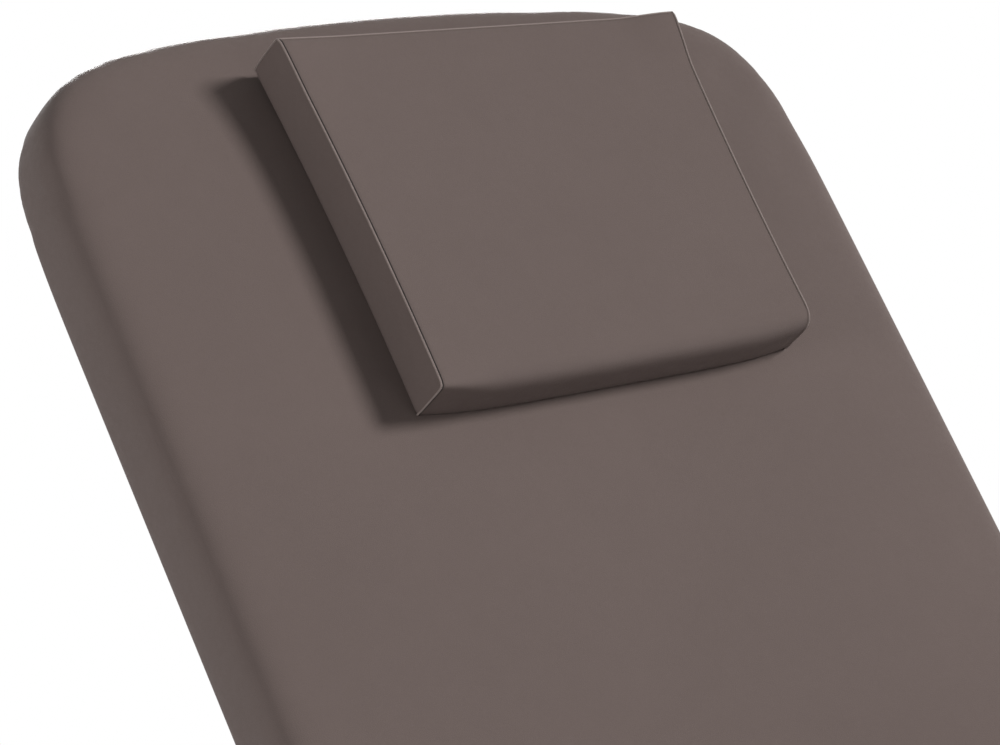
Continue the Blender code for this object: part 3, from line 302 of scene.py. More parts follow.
@dataclass(frozen=True)
class Thread(Finish):
    """Twisted sewing thread."""

    plies: float = 420.0

    def dress(self, sheet: NodeSheet) -> None:
        """Fills in the thread's plies."""
        inputs = {"Vector": sheet.place, "Scale": self.plies, "Distortion": 1.0}
        twist = sheet.node("TexWave", inputs, bands_direction="DIAGONAL").outputs["Fac"]
        sheet.set(Base_Color=sheet.tones(twist, self.shade(0.7), self.colour), Roughness=self.rough)
        sheet.relief(twist, 0.0001)


@dataclass(frozen=True)
class PowderCoat(Finish):
    """Powder-coated steel with a fine orange-peel and a few dull rubs."""

    peel: float = 520.0
    rubbed: float = 0.04

    def dress(self, sheet: NodeSheet) -> None:
        """Fills in the coat's peel, gloss and rubs."""
        rub = sheet.spread(sheet.noise(34, 6, 0.65), 0, 1, 0.56, 0.72)
        peel = sheet.noise(self.peel, 2)
        worn = sheet.tones(rub, self.colour, self.shade(1 - self.rubbed))
        sheet.set(Base_Color=worn, IOR=1.5, Coat_Weight=0.12, Coat_Roughness=0.2)
        sheet.set(Roughness=sheet.spread(sheet.sum(rub, peel, 0.3), self.rough - 0.04, self.rough + 0.08))
        sheet.relief(peel, 0.00006, 0.7)


@dataclass(frozen=True)
class Metal(Finish):
    """Bare metal: zinc plate with a soft spangle, or ground steel with its fine turning lines."""

    spangle: float = 260.0
    lines: float = 0.0

    def dress(self, sheet: NodeSheet) -> None:
        """Fills in the metal's sheen."""
        grain = sheet.noise(self.spangle, 4, 0.6)
        dull = sheet.tones(sheet.spread(grain, 0, 1, 0.3, 0.7), self.shade(0.78), self.colour)
        sheet.set(Base_Color=dull, Metallic=1.0)
        sheet.set(Roughness=sheet.spread(grain, self.rough - 0.06, self.rough + 0.1, 0.3, 0.7))
        if self.lines:
            ring = sheet.noise(self.lines, 2, at=sheet.turned_place((0, 0, 0), (0.03, 1, 0.03)))
            sheet.relief(ring, 0.00002)
        else:
            sheet.relief(grain, 0.00003)


@dataclass(frozen=True)
class Moulded(Finish):
    """Moulded plastic or rubber with a fine eroded face, and dust or scuffs where it is touched."""

    grit: float = 1500.0
    depth: float = 0.00005
    scuff: float = 1.25

    def dress(self, sheet: NodeSheet) -> None:
        """Fills in the moulding's grain and scuffs."""
        rub = sheet.spread(sheet.noise(55, 6, 0.7), 0, 1, 0.5, 0.75)
        grit = sheet.noise(self.grit, 2)
        sheet.set(Base_Color=sheet.tones(rub, self.colour, self.shade(self.scuff)), IOR=1.49)
        sheet.set(Roughness=sheet.spread(sheet.sum(rub, grit, 0.4), self.rough - 0.07, self.rough + 0.1))
        sheet.relief(grit, self.depth)


@dataclass(frozen=True)
class Plywood(Finish):
    """Birch plywood, with its figure along the section."""

    tilt: float = 0.0
    stretch: Triple = (1, 0.05, 1)
    dark: float = 0.76

    def dress(self, sheet: NodeSheet) -> None:
        """Fills in the wood's figure and fibres."""
        level = sheet.turned_place((-self.tilt, 0, 0), self.stretch)
        figure = sheet.noise(75, 4, 0.55, level)
        fibre = sheet.noise(700, 3, 0.6, level)
        both = sheet.spread(sheet.sum(figure, fibre, 0.4), 0, 1, 0.5, 0.95)
        sheet.set(Base_Color=sheet.tones(both, self.shade(self.dark), self.colour))
        sheet.set(Roughness=sheet.spread(fibre, self.rough - 0.05, self.rough + 0.08))
        sheet.relief(fibre, 0.00015)


@dataclass(frozen=True)
class Fibre(Finish):
    """A fibrous or open-celled surface, such as a hook tape or cut foam."""

    fibres: float = 1400.0
    depth: float = 0.0006

    def dress(self, sheet: NodeSheet) -> None:
        """Fills in the pile or the cells."""
        pile = sheet.cells(self.fibres)
        tone = sheet.tones(pile, self.colour, self.shade(0.5))
        sheet.set(Base_Color=tone, Roughness=self.rough, Sheen_Weight=0.2)
        sheet.relief(sheet.sum(pile, sheet.noise(self.fibres * 2, 2), 0.5), self.depth)


LEATHER = Leather("leather", Slot.LEATHER, (0.1245, 0.097, 0.0895), 0.58)
# The welts' leather is painted highlight: a paler copy of the leather, standing for where the seams' edges
# catch the light.
WELT_HIGHLIGHT_LEATHER = Leather("welt_painted_highlight", Slot.LEATHER, (0.225, 0.184, 0.170), 0.50)
# The seam gaps' tubes are painted shade: a dark colour for the shadow at the bottom of each seam.
SEAM_SHADE = PaintedSeamShade("seam_shade", Slot.LEATHER, (0.030, 0.024, 0.022), 0.9)
THREAD = Thread("thread", Slot.LEATHER, (0.060, 0.048, 0.043), 0.7)
FOAM = Fibre("foam", Slot.FOAM, (0.80, 0.75, 0.58), 0.95)
BACK_PLYWOOD = Plywood("back_plywood", Slot.PLYWOOD, (0.60, 0.44, 0.27), 0.72, BACK_TILT)
PLYWOOD = Plywood("plywood", Slot.PLYWOOD, (0.60, 0.44, 0.27), 0.72)
HOOK_TAPE = Fibre("hook_tape", Slot.HOOK_TAPE, (0.030, 0.030, 0.032), 0.92)
FRAME_PAINT = PowderCoat("frame_paint", Slot.FRAME_PAINT, (0.56, 0.57, 0.58), 0.40)
COLUMN_PAINT = PowderCoat("column_paint", Slot.COLUMN_PAINT, (0.68, 0.69, 0.70), 0.36, 420.0)
ZINC = Metal("zinc", Slot.ZINC, (0.66, 0.67, 0.68), 0.34)
STEEL = Metal("rod_steel", Slot.ROD_STEEL, (0.74, 0.74, 0.75), 0.20, 900.0, 700.0)
BLACK_PLASTIC = Moulded("black_plastic", Slot.BLACK_PLASTIC, (0.026, 0.026, 0.028), 0.46)
GREY_PLASTIC = Moulded("grey_plastic", Slot.GREY_PLASTIC, (0.30, 0.31, 0.32), 0.48, scuff=1.08)
RUBBER = Moulded("rubber", Slot.RUBBER, (0.020, 0.020, 0.021), 0.78, 900.0, 0.00012)


# Bench work


def bevelled(bm: bmesh.types.BMesh, edges: Iterable[bmesh.types.BMEdge], width: float, steps: int) -> None:
    """Rounds edges of a bmesh in place.

    Args:
        bm: The mesh.
        edges: The edges to round.
        width: The radius.
        steps: How many faces the round has.
    """
    bmesh.ops.bevel(
        bm, geom=list(edges), offset=width, offset_type="OFFSET", segments=steps, profile=0.5,
        affect="EDGES", material=-1, clamp_overlap=True,
    )


def edges_along(bm: bmesh.types.BMesh, axis: Axis) -> list[bmesh.types.BMEdge]:
    """The edges of a mesh that run along an axis."""
    found = []
    for edge in bm.edges:
        way = (edge.verts[0].co - edge.verts[1].co).normalized()
        if abs(way[axis.value]) > 0.999:
            found.append(edge)
    return found


def block(
    size: Triple, centre: Triple = (0, 0, 0), corner: float = 0.0, along: Axis = Axis.UP, edge: float = 0.0,
    steps: int = 8,
) -> bmesh.types.BMesh:
    """A box with its corners rounded along one axis, and then its remaining edges.

    Args:
        size: The box's three sizes.
        centre: Its middle.
        corner: The radius of the four edges along the axis.
        along: The axis.
        edge: The radius of the edges round the two ends.
        steps: How many faces each corner has.

    Returns:
        The new bmesh.
    """
    bm = bmesh.new()
    bmesh.ops.create_cube(bm, size=1)
    bmesh.ops.scale(bm, vec=size, verts=bm.verts)
    if corner:
        bevelled(bm, edges_along(bm, along), corner, steps)
    if edge:
        half = size[along.value] / 2
        rims = [e for e in bm.edges if all(abs(abs(v.co[along.value]) - half) < SAME for v in e.verts)]
        bevelled(bm, rims, edge, 3)
    bmesh.ops.translate(bm, vec=centre, verts=bm.verts)
    return bm


def toward(direction: Vector) -> Matrix:
    """The turn that brings the up axis onto a direction."""
    return UP.rotation_difference(direction).to_matrix().to_4x4()


def lathe(
    profile: Sequence[Pair], centre: Triple = (0, 0, 0), way: Vector = UP, steps: int = 40
) -> bmesh.types.BMesh:
    """A turned piece.

    Args:
        profile: Points of (place along the axis, radius) from one end to the other.
        centre: Where the axis starts.
        way: The axis.
        steps: How many faces go round it.

    Returns:
        The new bmesh.
    """
    bm = bmesh.new()
    verts = [bm.verts.new((radius, 0, place)) for place, radius in profile]
    edges = [bm.edges.new(pair) for pair in zip(verts, verts[1:])]
    bmesh.ops.spin(
        bm, geom=verts + edges, cent=(0, 0, 0), axis=(0, 0, 1), angle=math.tau, steps=steps,
        use_merge=True, use_duplicate=False,
    )
    bmesh.ops.remove_doubles(bm, verts=bm.verts, dist=1e-6)
    bmesh.ops.transform(bm, matrix=Matrix.Translation(Vector(centre)) @ toward(way), verts=bm.verts)
    return bm


def rounded_rod(radius: float, start: float, end: float, edge: float = 0.001) -> list[Pair]:
    """The profile of a rod with its two rims broken."""
    rim = radius - edge
    return [(start, 0), (start, rim), (start + edge, radius), (end - edge, radius), (end, rim), (end, 0)]


def ring_profile(inner: float, outer: float, start: float, end: float, edge: float = 0.0008) -> list[Pair]:
    """The closed profile of a ring with its rims broken."""
    rim = outer - edge
    return [
        (start, inner), (start, rim), (start + edge, outer), (end - edge, outer), (end, rim), (end, inner),
        (start, inner),
    ]


def washer_profile(radius: float, top: float) -> list[Pair]:
    """The profile of a flat washer with its upper rim broken."""
    return [(0, 0), (0, radius), (0.0010, radius), (top, radius - 0.0003), (top, 0)]


def joined(*parts: bmesh.types.BMesh) -> bmesh.types.BMesh:
    """Several bmeshes as one, with the first one kept and the others freed."""
    whole = parts[0]
    for part in parts[1:]:
        mesh = bpy.data.meshes.new("part")
        part.to_mesh(mesh)
        part.free()
        whole.from_mesh(mesh)
        bpy.data.meshes.remove(mesh)
    return whole


def moved(bm: bmesh.types.BMesh, matrix: Matrix) -> bmesh.types.BMesh:
    """The bmesh after a transform."""
    bmesh.ops.transform(bm, matrix=matrix, verts=bm.verts)
    return bm


def shaped(name: str, bm: bmesh.types.BMesh) -> bpy.types.Object:
    """An object in the scene that takes a bmesh as its mesh, with its normals turned outwards."""
    bmesh.ops.recalc_face_normals(bm, faces=bm.faces)
    mesh = bpy.data.meshes.new(name)
    bm.to_mesh(mesh)
    bm.free()
    obj = bpy.data.objects.new(name, mesh)
    bpy.context.scene.collection.objects.link(obj)
    return obj


def carved(bm: bmesh.types.BMesh, *cutters: bmesh.types.BMesh) -> bmesh.types.BMesh:
    """A bmesh with others cut out of it."""
    blank = shaped("blank", bm)
    tools = [shaped("cutter", cutter) for cutter in cutters]
    for tool in tools:
        modifier = blank.modifiers.new("cut", "BOOLEAN")
        modifier.operation = "DIFFERENCE"
        modifier.object = tool
        modifier.solver = "EXACT"
    result = bmesh.new()
    result.from_object(blank, bpy.context.evaluated_depsgraph_get())
    for obj in [blank, *tools]:
        mesh = obj.data
        bpy.data.objects.remove(obj)
        bpy.data.meshes.remove(mesh)
    return result


def swept(path: Sequence[Vector], radius: float, sides: int = 8, closed: bool = False) -> bmesh.types.BMesh:
    """A round bead along a path.

    Args:
        path: The points of the path.
        radius: The bead's radius.
        sides: How many faces go round it.
        closed: Whether the path is a ring.

    Returns:
        The new bmesh.
    """
    bm = bmesh.new()
    count, rings = len(path), []
    for k, point in enumerate(path):
        before = path[k - 1] if closed or k else point
        after = path[(k + 1) % count] if closed or k < count - 1 else point
        ring = bmesh.ops.create_circle(
            bm, radius=radius, segments=sides, matrix=Matrix.Translation(point) @ toward(after - before),
        )["verts"]
        rings.append(list(dict.fromkeys(edge for vertex in ring for edge in vertex.link_edges)))
    for first, second in zip(rings, rings[1:] + (rings[:1] if closed else [])):
        bmesh.ops.bridge_loops(bm, edges=first + second)
    if not closed:
        for ring in (rings[0], rings[-1]):
            bmesh.ops.contextual_create(bm, geom=ring)
    bmesh.ops.recalc_face_normals(bm, faces=bm.faces)
    return bm


def mirrored_spots(centre: Vector, across: float, along: float, height: float) -> list[Triple]:
    """Four places round a centre, for screws and bolts.

    Args:
        centre: The middle of the four.
        across: How far they lie from it to either side.
        along: How far they lie from it lengthwise.
        height: Their height.

    Returns:
        The places.
    """
    return [(centre.x + sx * across, centre.y + sy * along, height) for sx in (-1, 1) for sy in (-1, 1)]


@dataclass(frozen=True)
class Space:
    """The box that a CAD node fills at rest."""

    low: Vector
    high: Vector

    @classmethod
    def of(cls, node: str) -> "Space":
        """The space of one node."""
        return cls(*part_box(node))

    @property
    def size(self) -> Vector:
        """The three sizes."""
        return self.high - self.low

    @property
    def centre(self) -> Vector:
        """The middle."""
        return (self.high + self.low) / 2


class Maker:
    """Turns finished bmeshes into pieces that ride on the bed's bodies."""

    def __init__(self) -> None:
        """Starts with nothing made."""
        self.made: list[str] = []

    def piece(
        self, name: str, bm: bmesh.types.BMesh, finish: Finish, body: Body, stands_for: Sequence[str] = (),
        edge: float = 0.0, sharp: float = SHARP,
    ) -> None:
        """Makes one piece.

        Args:
            name: The piece's name.
            bm: Its mesh, in the bed's frame, which is used up.
            finish: Its finish.
            body: The body that it rides on.
            stands_for: The CAD nodes that it replaces.
            edge: The radius of a live bevel on its sharp edges, or 0.
            sharp: The angle in degrees from which an edge stays sharp.
        """
        obj = shaped(name, bm)
        if edge:
            bevel = obj.modifiers.new("broken_edges", "BEVEL")
            bevel.width = edge
            bevel.segments = 2
            bevel.limit_method = "ANGLE"
            bevel.angle_limit = math.radians(SHARP)
            bevel.harden_normals = False
        self.own(obj, finish, body, stands_for, sharp)

    def own(
        self, obj: bpy.types.Object, finish: Finish, body: Body, stands_for: Sequence[str], sharp: float
    ) -> None:
        """Finishes an object, and puts it on its body, and in place of its nodes."""
        obj.data.shade_smooth()
        obj.data.set_sharp_from_angle(angle=math.radians(sharp))
        obj.data.materials.append(finish.material())
        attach(obj, body.value)
        if stands_for:
            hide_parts(*stands_for)
        self.made.append(obj.name)
        LOG.info("%s: %s, rides on %s", obj.name, finish.name, body.value)

    def coat(self, finish: Finish, *nodes: str) -> None:
        """Gives CAD nodes that keep their shape a finish."""
        for node in nodes:
            for slot in frame["nodes"][node].material_slots:
                slot.material = finish.material()
            LOG.info("%s: %s, as packed", node, finish.name)


# Soft goods


def lookup(points: Sequence[Vector]) -> KDTree:
    """A tree that finds the nearest of some points."""
    tree = KDTree(len(points))
    for k, point in enumerate(points):
        tree.insert(point, k)
    tree.balance()
    return tree


def swollen(
    obj: bpy.types.Object, held: Callable[[Vector], float], reach: float, pressure: float = 4.0,
    stiffness: float = 25.0, bending: float = 2.0, frames: int = 20,
) -> None:
    """Swells a padded shape with cloth, and softly caps how far each point has moved.

    Args:
        obj: The closed shape, at the origin.
        held: How firmly a point is held, from 0 to 1.
        reach: The most that a point may move.
        pressure: The pressure inside.
        stiffness: How little the leather stretches.
        bending: How little it bends.
        frames: How many frames the cloth runs.
    """
    mesh = obj.data
    before = [v.co.copy() for v in mesh.vertices]
    group = obj.vertex_groups.new(name="held")
    for vertex in mesh.vertices:
        group.add([vertex.index], held(vertex.co), "REPLACE")
    cloth = obj.modifiers.new("swell", "CLOTH")
    settings = cloth.settings
    settings.quality = 6
    settings.mass = 0.05
    settings.tension_stiffness = settings.compression_stiffness = stiffness
    settings.shear_stiffness = stiffness / 2
    settings.bending_stiffness = bending
    settings.use_pressure = True
    settings.uniform_pressure_force = pressure
    settings.effector_weights.gravity = 0
    settings.vertex_group_mass = "held"
    cloth.point_cache.frame_start = 1
    cloth.point_cache.frame_end = frames
    scene = bpy.context.scene
    for number in range(1, frames + 1):
        scene.frame_set(number)
    shown = obj.evaluated_get(bpy.context.evaluated_depsgraph_get())
    after = [v.co.copy() for v in shown.data.vertices]
    obj.modifiers.remove(cloth)
    obj.vertex_groups.remove(group)
    scene.frame_set(1)
    farthest = 0.0
    for vertex, start, end in zip(mesh.vertices, before, after):
        way = end - start
        farthest = max(farthest, way.length)
        if way.length > 1e-7:
            vertex.co = start + way.normalized() * reach * math.tanh(way.length / reach)
    LOG.info("%s swelled, its farthest point by %.4f m before the cap", obj.name, farthest)


def applied(obj: bpy.types.Object) -> None:
    """Turns what an object's modifiers show into its mesh."""
    shown = obj.evaluated_get(bpy.context.evaluated_depsgraph_get())
    mesh, old = bpy.data.meshes.new_from_object(shown), obj.data
    obj.modifiers.clear()
    obj.data = mesh
    bpy.data.meshes.remove(old)


def subdivided(obj: bpy.types.Object) -> None:
    """Applies one level of subdivision to an object's mesh."""
    modifier = obj.modifiers.new("fine", "SUBSURF")
    modifier.levels = modifier.render_levels = 1
    applied(obj)


@dataclass(frozen=True)
class PaddedSection:
    """One section of the bed: foam on a board, in leather that is stapled round its underside."""

    name: str
    body: Body
    pose: Matrix
    length: float
    far_width: float
    far_length: float
    far_power: float
    bow: float = 0.0
    width: float = 0.640
    thickness: float = 0.062
    crown: float = 0.006
    crown_reach: float = 0.170
    roll: float = 0.031
    under_roll: float = 0.008
    near_corner: float = 0.034
    turn_in: float = 0.034
    edge_skin: float = -0.0020
    edge_power: float = 4.0
    top_skin: float = 0.0015
    swell: float = 0.0020
    voxel: float = 0.008
    foam_skin: float = 0.0075
    foam_floor: float = 0.0184
    least_corner: float = 0.004
    recess: float = 0.010
    glued: float = 0.004
    underside: float = 0.002
    staple_pitch: float = 0.042
    staple_place: float = 0.010
    staple_width: float = 0.010
    staple_wire: float = 0.0011
    outline_step: float = 0.002
    hem_step: float = 0.001
    near_steps: int = 8
    side_steps: int = 16
    far_steps: int = 48
    crown_rows: int = 8
    edge_rows: int = 8
    under_rows: int = 4
    smoothings: int = 4

    def ring(self, inset: float) -> list[Pair]:
        """The section's outline drawn in by an inset, as close points."""
        half = self.width / 2 - inset
        start = max(inset, 0.0)
        near = max(self.near_corner - inset, self.least_corner)
        reach_x = max(self.far_width - inset, self.least_corner)
        reach_y = max(self.far_length - inset, self.least_corner)
        right = []
        for k in range(self.near_steps + 1):
            angle = math.pi / 2 * (k / self.near_steps - 1)
            right.append((half - near + near * math.cos(angle), start + near + near * math.sin(angle)))
        low, high, steps = start + near, self.length - inset - reach_y, self.side_steps
        right += [(half, low + (high - low) * k / steps) for k in range(1, steps)]
        for k in range(self.far_steps + 1):
            angle = math.pi / 2 * k / self.far_steps
            across, along = max(math.cos(angle), 0), math.sin(angle)
            scale = (across ** self.far_power + along ** self.far_power) ** (-1 / self.far_power)
            x = half - reach_x + reach_x * across * scale
            y = high + reach_y * along * scale
            right.append((x, y - self.bow * (x / half) ** 2 * along * scale))
        left = [(-x, y) for x, y in reversed(right)]
        return right + [(0, self.length - inset)] + left

    def close_ring(self, inset: float, spacing: float) -> list[Vector]:
        """The same outline with its points evenly and closely spaced."""
        points = [Vector((x, y, 0)) for x, y in self.ring(inset)]
        even = []
        for here, after in zip(points, points[1:] + points[:1]):
            steps = max(1, round((after - here).length / spacing))
            even += [here.lerp(after, k / steps) for k in range(steps)]
        return even

    def rows(self, skin: float, top_skin: float) -> list[Pair]:
        """(inset, height) rows from the crown round the edge to the underside.

        Args:
            skin: How deep the rows lie inside the leather at the edge.
            top_skin: How deep they lie inside it at the top.

        Returns:
            The rows.
        """
        rows = []
        for k in range(self.crown_rows):
            share = 1 - k / self.crown_rows
            rise = self.crown * (1 - (1 - share) ** 2)
            inset = self.roll + share * (self.crown_reach - self.roll)
            rows.append((inset, self.thickness - top_skin + rise))
        power = self.edge_power
        for k in range(self.edge_rows + 1):
            angle = math.pi / 2 * (1 - k / self.edge_rows)
            full = (math.cos(angle) ** power + math.sin(angle) ** power) ** (-1 / power)
            across = (self.roll - skin) * math.cos(angle) * full
            up = (self.roll - top_skin) * math.sin(angle) * full
            rows.append((self.roll - across, self.thickness - self.roll + up))
        low, radius = self.under_roll, self.under_roll - skin
        for k in range(self.under_rows + 1):
            angle = -math.pi / 2 * k / self.under_rows
            rows.append((low - radius * math.cos(angle), low + radius * math.sin(angle)))
        return rows

    def form(self, rows: Sequence[Pair]) -> bmesh.types.BMesh:
        """A closed form over rows of inset and height."""
        bm = bmesh.new()
        loops = []
        for inset, height in rows:
            verts = [bm.verts.new((x, y, height)) for x, y in self.ring(inset)]
            loops.append([bm.edges.new((a, b)) for a, b in zip(verts, verts[1:] + verts[:1])])
        for first, second in zip(loops, loops[1:]):
            bmesh.ops.bridge_loops(bm, edges=first + second)
        bmesh.ops.contextual_create(bm, geom=loops[0])
        bmesh.ops.contextual_create(bm, geom=loops[-1])
        return bm

    def core(self) -> bmesh.types.BMesh:
        """The foam, pressed a little inside the leather, on the board."""
        rows = [row for row in self.rows(self.foam_skin, self.foam_skin) if row[1] > self.foam_floor]
        return moved(self.form(rows + [(self.foam_skin, self.foam_floor)]), self.pose)

    def blank(self) -> bpy.types.Object:
        """The closed starting shape, remeshed into even squares."""
        obj = shaped(f"{self.name}_cover_leather", self.form(self.rows(self.edge_skin, self.top_skin)))
        modifier = obj.modifiers.new("even", "REMESH")
        modifier.mode = "VOXEL"
        modifier.voxel_size = self.voxel
        applied(obj)
        return obj

    def opened(self, bm: bmesh.types.BMesh) -> None:
        """Opens the underside inside the hem, so that the board shows, and closes the recess inside it."""
        outline = lookup(self.close_ring(0, self.outline_step))
        hem = lookup(self.close_ring(self.turn_in, self.hem_step))

        def inside(face: bmesh.types.BMFace) -> bool:
            """Whether a face lies on the underside, inside the hem."""
            centre = face.calc_center_median()
            if centre.z > self.underside:
                return False
            return outline.find((centre.x, centre.y, 0))[2] > self.turn_in

        doomed = [face for face in bm.faces if inside(face)]
        bmesh.ops.delete(bm, geom=doomed, context="FACES")
        rim = [edge for edge in bm.edges if edge.is_boundary]
        for vertex in {v for edge in rim for v in edge.verts}:
            spot = hem.find((vertex.co.x, vertex.co.y, 0))[0]
            vertex.co = Vector((spot.x, spot.y, 0))
        grown = bmesh.ops.extrude_edge_only(bm, edges=rim)["geom"]
        lifted = {v for v in grown if isinstance(v, bmesh.types.BMVert)}
        bmesh.ops.translate(bm, vec=(0, 0, self.recess), verts=list(lifted))
        grown_edges = [e for e in grown if isinstance(e, bmesh.types.BMEdge)]
        bmesh.ops.edgeloop_fill(bm, edges=[e for e in grown_edges if all(v in lifted for v in e.verts)])

    def staples(self) -> bmesh.types.BMesh:
        """The wire staples that hold the hem on the board."""
        points = self.close_ring(self.turn_in - self.staple_place, self.outline_step)
        step = round(self.staple_pitch / self.outline_step)
        width, wire = self.staple_width, self.staple_wire
        whole = bmesh.new()
        for k in range(0, len(points), step):
            here, after = points[k], points[(k + 1) % len(points)]
            askew = 0.25 * math.sin(3.1 * k)
            angle = math.atan2(after.y - here.y, after.x - here.x) + askew
            crown = block((width, wire, 0.0008), (0, 0, -0.0003), 0.0003, Axis.ACROSS, steps=1)
            legs = [block((wire, wire, 0.003), (end * 0.0046, 0, 0.0008)) for end in (-1, 1)]
            staple = joined(crown, *legs)
            moved(staple, Matrix.Translation(here) @ Matrix.Rotation(angle, 4, "Z"))
            whole = joined(whole, staple)
        return whole

    def make(self, maker: Maker, board: Finish) -> None:
        """Makes the leather cover and the staples, and gives the foam and the board their finishes.

        Args:
            maker: The maker that owns the pieces.
            board: The board's finish.
        """
        obj = self.blank()
        swollen(obj, lambda point: float(point.z < self.glued), self.swell)
        bm = bmesh.new()
        bm.from_mesh(obj.data)
        for _ in range(self.smoothings):
            loose = [v for v in bm.verts if v.co.z > self.glued]
            bmesh.ops.smooth_vert(
                bm, verts=loose, factor=0.5, use_axis_x=True, use_axis_y=True, use_axis_z=True,
            )
        bm.to_mesh(obj.data)
        bm.free()
        subdivided(obj)
        bm = bmesh.new()
        bm.from_mesh(obj.data)
        self.opened(bm)
        bmesh.ops.recalc_face_normals(bm, faces=bm.faces)
        moved(bm, self.pose)
        bm.to_mesh(obj.data)
        bm.free()
        maker.own(obj, LEATHER, self.body, (f"{self.name}_cover",), sharp=60)
        maker.piece(f"{self.name}_hem_staples", moved(self.staples(), self.pose), ZINC, self.body)
        maker.piece(f"{self.name}_foam_core", self.core(), FOAM, self.body, (f"{self.name}_foam",), sharp=60)
        maker.coat(board, f"{self.name}_board")


@dataclass(frozen=True)
class HeadCushion:
    """The loose box cushion: one panel wraps over its top and ends, and a flat gusset closes each side."""

    width: float = 0.341
    foot_narrowing: float = 0.015
    length: float = 0.270
    height: float = 0.0395
    floor: float = -0.0030
    draw_in: float = 0.003
    front_bulge: float = 0.0055
    front_round: float = 0.015
    head_round: float = 0.0026
    corner_rounds: Pair = (0.0022, 0.012)
    under_round: float = 0.003
    pucker_reaches: Pair = (0.060, 0.030)
    shy: float = 0.0015
    swell: float = 0.0055
    foot_shifts: tuple[Pair, Pair] = ((0.0, -0.005), (-0.002, 0.0025))
    head_shifts: tuple[Pair, Pair] = ((0.0, 0.0025), (-0.003, -0.0025))
    ears: Pair = (0.0012, 0.0046)
    ear_reach: float = 0.052
    cell: float = 0.005
    floor_hold: float = 0.0008
    seam_hold: float = 0.012
    seam_free: float = 0.002
    seam_parts: int = 60
    seam_step: float = 0.0008
    seam_outs: tuple[Triple, Triple, Triple] = ((-0.4, 0, 0.0), (0.2, 0, 0.4), (0, 0.2, 0.2))
    seam_ins: tuple[Triple, Triple, Triple] = ((1.3, 0, 0.3), (0.5, 0, -1.5), (0, 0.5, -1.5))
    welt: float = 0.0007
    gap: float = 0.0006
    stitch_pitch: float = 0.0042
    stitch_length: float = 0.0028
    stitch_radius: float = 0.0004
    foam_less: Triple = (0.030, 0.024, 0.015)
    foam_lift: float = 0.0205

    def grid(self) -> bmesh.types.BMesh:
        """A block of even squares, creased where the wrapping panel meets a gusset or the underside."""
        bm = bmesh.new()
        bmesh.ops.create_cube(bm, size=1)
        sizes = (self.width, self.length, self.height)
        for axis in Axis:
            cuts = max(1, round(sizes[axis.value] / self.cell) - 1)
            bmesh.ops.subdivide_edges(bm, edges=edges_along(bm, axis), cuts=cuts, use_grid_fill=True)
        crease = bm.edges.layers.float.new("crease_edge")
        for edge in bm.edges:
            sewn = {abs(face.normal.x) > 0.9 or face.normal.z < -0.9 for face in edge.link_faces}
            edge[crease] = float(len(sewn) > 1)
        return bm

    def rounded(self, point: Vector) -> Vector:
        """Where a point of the unit block lies on the cushion.

        Args:
            point: The point, from -0.5 to 0.5 in each direction.

        Returns:
            The place in the cushion's frame, whose floor is at 0.
        """
        half_y, half_z = self.length / 2 - self.shy, self.height / 2
        from_side = (0.5 - abs(point.x)) * self.width
        side = int(point.x > 0)
        soft = min(from_side / self.pucker_reaches[side], 1)
        soft = soft * soft * (3 - 2 * soft)
        corner, top = self.corner_rounds[side], self.front_round
        if point.y > 0:
            corner = top = self.head_round
        radius = corner + soft * (top - corner) if point.z > 0 else self.under_round
        y, z = 2 * point.y * half_y, 2 * point.z * half_z
        core_y = max(-half_y + radius, min(half_y - radius, y))
        core_z = max(-half_z + radius, min(half_z - radius, z))
        out = Vector((y - core_y, z - core_z))
        if out.length > 0:
            out = out.normalized() * radius
            y, z = core_y + out.x, core_z + out.y
        share = point.y + 0.5
        half_x = self.width / 2 - self.foot_narrowing / 2 * (1 - share)
        pull = self.draw_in * (1 - (2 * point.y) ** 2)
        x = 2 * point.x * (half_x - pull)
        bulge = self.front_bulge * (1 - (2 * abs(point.x)) ** 5) if point.y < 0 else 0.0
        across = point.x + 0.5
        foot, head = (Vector(a).lerp(Vector(b), across) for a, b in (self.foot_shifts, self.head_shifts))
        shift = foot.lerp(head, share)
        from_corner = Vector((from_side, (0.5 - point.y) * self.length)).length
        ear = self.ears[side] * max(0.0, 1 - (from_corner / self.ear_reach) ** 2) ** 2 * (point.z + 0.5)
        z += half_z + self.floor + ear
        return Vector((x + shift.x, y + bulge * 2 * point.y * abs(2 * point.y) + shift.y, z))

    def seam(self, start: Triple, *ends: Triple) -> list[Vector]:
        """A seam along the cushion's edges.

        Args:
            start: Where it starts, as a corner of the unit block.
            ends: The corners that it runs to in turn.

        Returns:
            Its close points in the cushion's frame.
        """
        spots = [Vector(start)]
        for end in ends:
            here = spots[-1]
            spots += [here.lerp(Vector(end), k / self.seam_parts) for k in range(1, self.seam_parts + 1)]
        places = [self.rounded(spots[0])]
        for spot in spots[1:]:
            place = self.rounded(spot)
            if (place - places[-1]).length > self.seam_step:
                places.append(place)
        return places

    def seams(self) -> tuple[list[Vector], ...]:
        """The seams round the left and the right gusset, and the one along the head edge."""
        left, right = (
            self.seam((x, 0.5, -0.5), (x, 0.5, 0.5), (x, -0.5, 0.5), (x, -0.5, -0.5)) for x in (-0.5, 0.5)
        )
        return left, right, self.seam((-0.5, 0.5, 0.5), (0.5, 0.5, 0.5))

